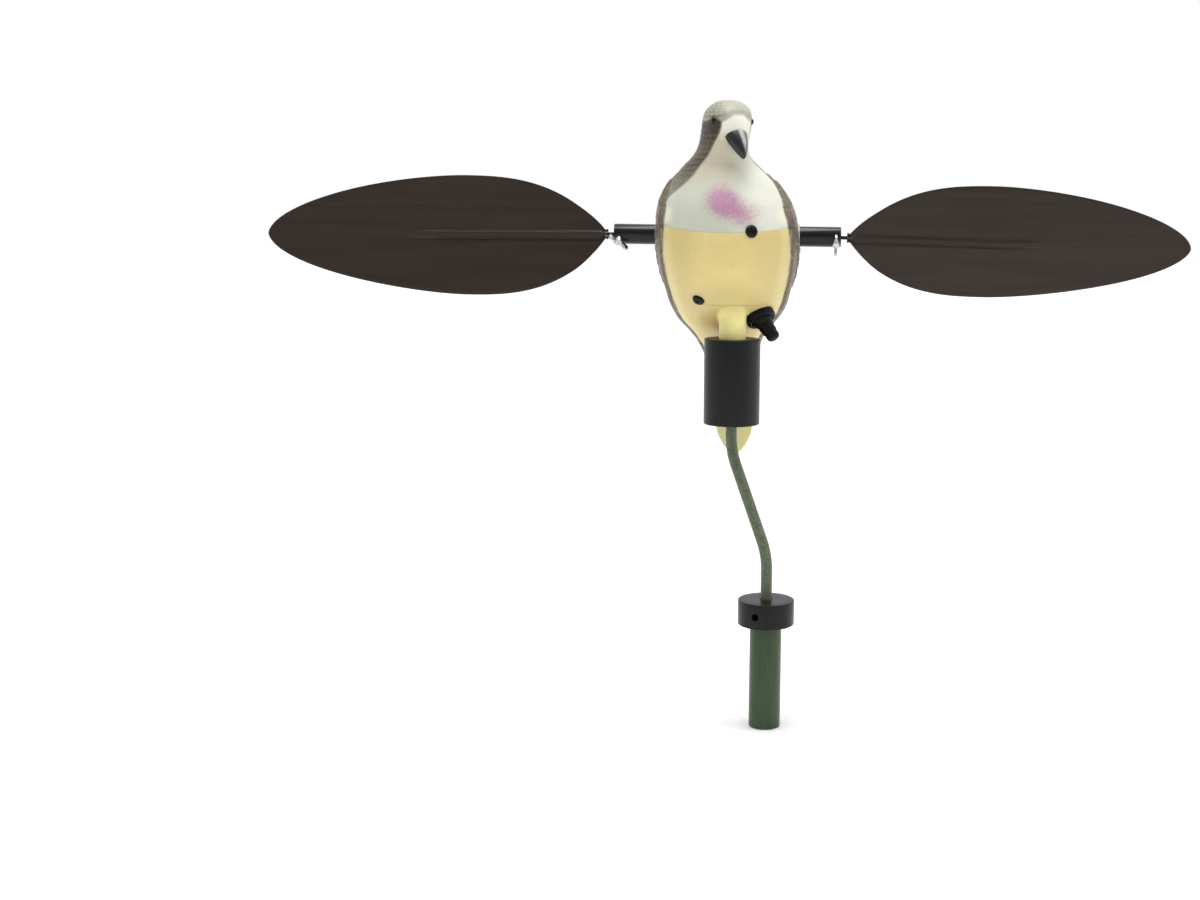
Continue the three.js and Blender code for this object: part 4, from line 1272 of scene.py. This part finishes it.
CAMERA_DISTANCE = 1130
CAMERA_AZIMUTH = math.radians(2)
CAMERA_YAW = math.radians(1)
CAMERA_PITCH = math.radians(9.06)
CAMERA_ROLL = math.radians(0.85)
CAMERA_RISE = 28.3
CAMERA_SHIFT = -152.6 / 1200
CAMERA_SENSOR = 36
CAMERA_LENS = 48
CAMERA_SIGHT = 100
FLOOR_RADIUS = 9000
FLOOR_THICKNESS = 39.5
FLOOR_TOP = -0.5

# Name, place, size and power of each soft light, in metres and watts
LIGHTS = (
    ("top", (-0.08, -0.05, 1.65), (0.5, 1.1), 12),
    ("side", (1.7, 0.1, 0.8), (0.3, 1.2), 3),
    ("key", (0.87, -0.22, 1.58), (0.5, 0.5), 3),
)

# Along each axis, the part of the sky over which the surround's strength goes from low to high
SURROUND = (("Y", -0.9, 0.1, 0.5, 1.0), ("Z", 0.3, 0.95, 1.0, 1.15))


def camera():
    data = bpy.data.cameras.new("camera")
    data.sensor_width = CAMERA_SENSOR
    data.lens = CAMERA_LENS
    data.shift_x = CAMERA_SHIFT
    data.clip_end = CAMERA_SIGHT
    level = math.cos(CAMERA_PITCH)
    ahead = Vector((-math.sin(CAMERA_YAW) * level, math.cos(CAMERA_YAW) * level, -math.sin(CAMERA_PITCH)))
    right = ahead.cross(Vector((0, 0, 1))).normalized()
    up = right.cross(ahead)
    right, up = (
        right * math.cos(CAMERA_ROLL) + up * math.sin(CAMERA_ROLL),
        up * math.cos(CAMERA_ROLL) - right * math.sin(CAMERA_ROLL),
    )
    eye_point = SHAFT + CAMERA_DISTANCE * Vector((math.sin(CAMERA_AZIMUTH), -math.cos(CAMERA_AZIMUTH), 0))
    eye_point.z += CAMERA_RISE
    piece = bpy.data.objects.new("camera", data)
    axes = Matrix((right, up, -ahead)).transposed().to_4x4()
    piece.matrix_world = Matrix.Translation(eye_point * MM) @ axes
    bpy.context.scene.collection.objects.link(piece)
    bpy.context.scene.camera = piece


def floor():
    low = FLOOR_TOP - FLOOR_THICKNESS
    disc = turned("floor", [(0, low), (FLOOR_RADIUS, low), (FLOOR_RADIUS, FLOOR_TOP), (0, FLOOR_TOP)], 128)
    finish = Finish("floor_white_glowing_far", (250, 250, 250), 0.9, specular=0.1)
    distance = finish.node("ShaderNodeVectorMath", {0: finish.place()}, operation="LENGTH").outputs["Value"]
    # Painted light: the floor glows more the further it lies from the dove, so the far floor fades into the
    # white surround
    finish.set("Emission Color", (1, 1, 1, 1))
    finish.link(finish.ramp(distance, 0.7, 2.5, 0, 0.3), "Emission Strength")
    disc.data.materials.append(finish.material)


def area_light(name, place, target, size, power):
    data = bpy.data.lights.new(name, "AREA")
    data.shape = "RECTANGLE"
    data.size, data.size_y = size
    data.energy = power
    light = bpy.data.objects.new(name, data)
    light.location = place
    light.rotation_euler = (Vector(target) - Vector(place)).to_track_quat("-Z", "Y").to_euler()
    light.visible_camera = False
    bpy.context.scene.collection.objects.link(light)


def studio():
    """White surround that is dimmer in front of the dove and brighter overhead, with three soft lights."""
    for name, place, size, power in LIGHTS:
        area_light(name, place, SHAFT * MM, size, power)
    world = bpy.data.worlds.new("studio")
    bpy.context.scene.world = world
    sky = Nodes(world)
    direction = sky.node("ShaderNodeTexCoord").outputs["Generated"]
    axes = sky.node("ShaderNodeSeparateXYZ", {"Vector": direction}).outputs
    levels = [sky.ramp(axes[axis], *span) for axis, *span in SURROUND]
    seen = sky.node("ShaderNodeLightPath").outputs["Is Camera Ray"]
    strength = sky.math("MAXIMUM", sky.math("MULTIPLY", *levels), seen)
    background = sky.tree.nodes["Background"]
    background.inputs["Color"].default_value = (1, 1, 1, 1)
    sky.tree.links.new(strength, background.inputs["Strength"])


build()
camera()
floor()
studio()
bpy.context.scene.view_settings.view_transform = "Standard"
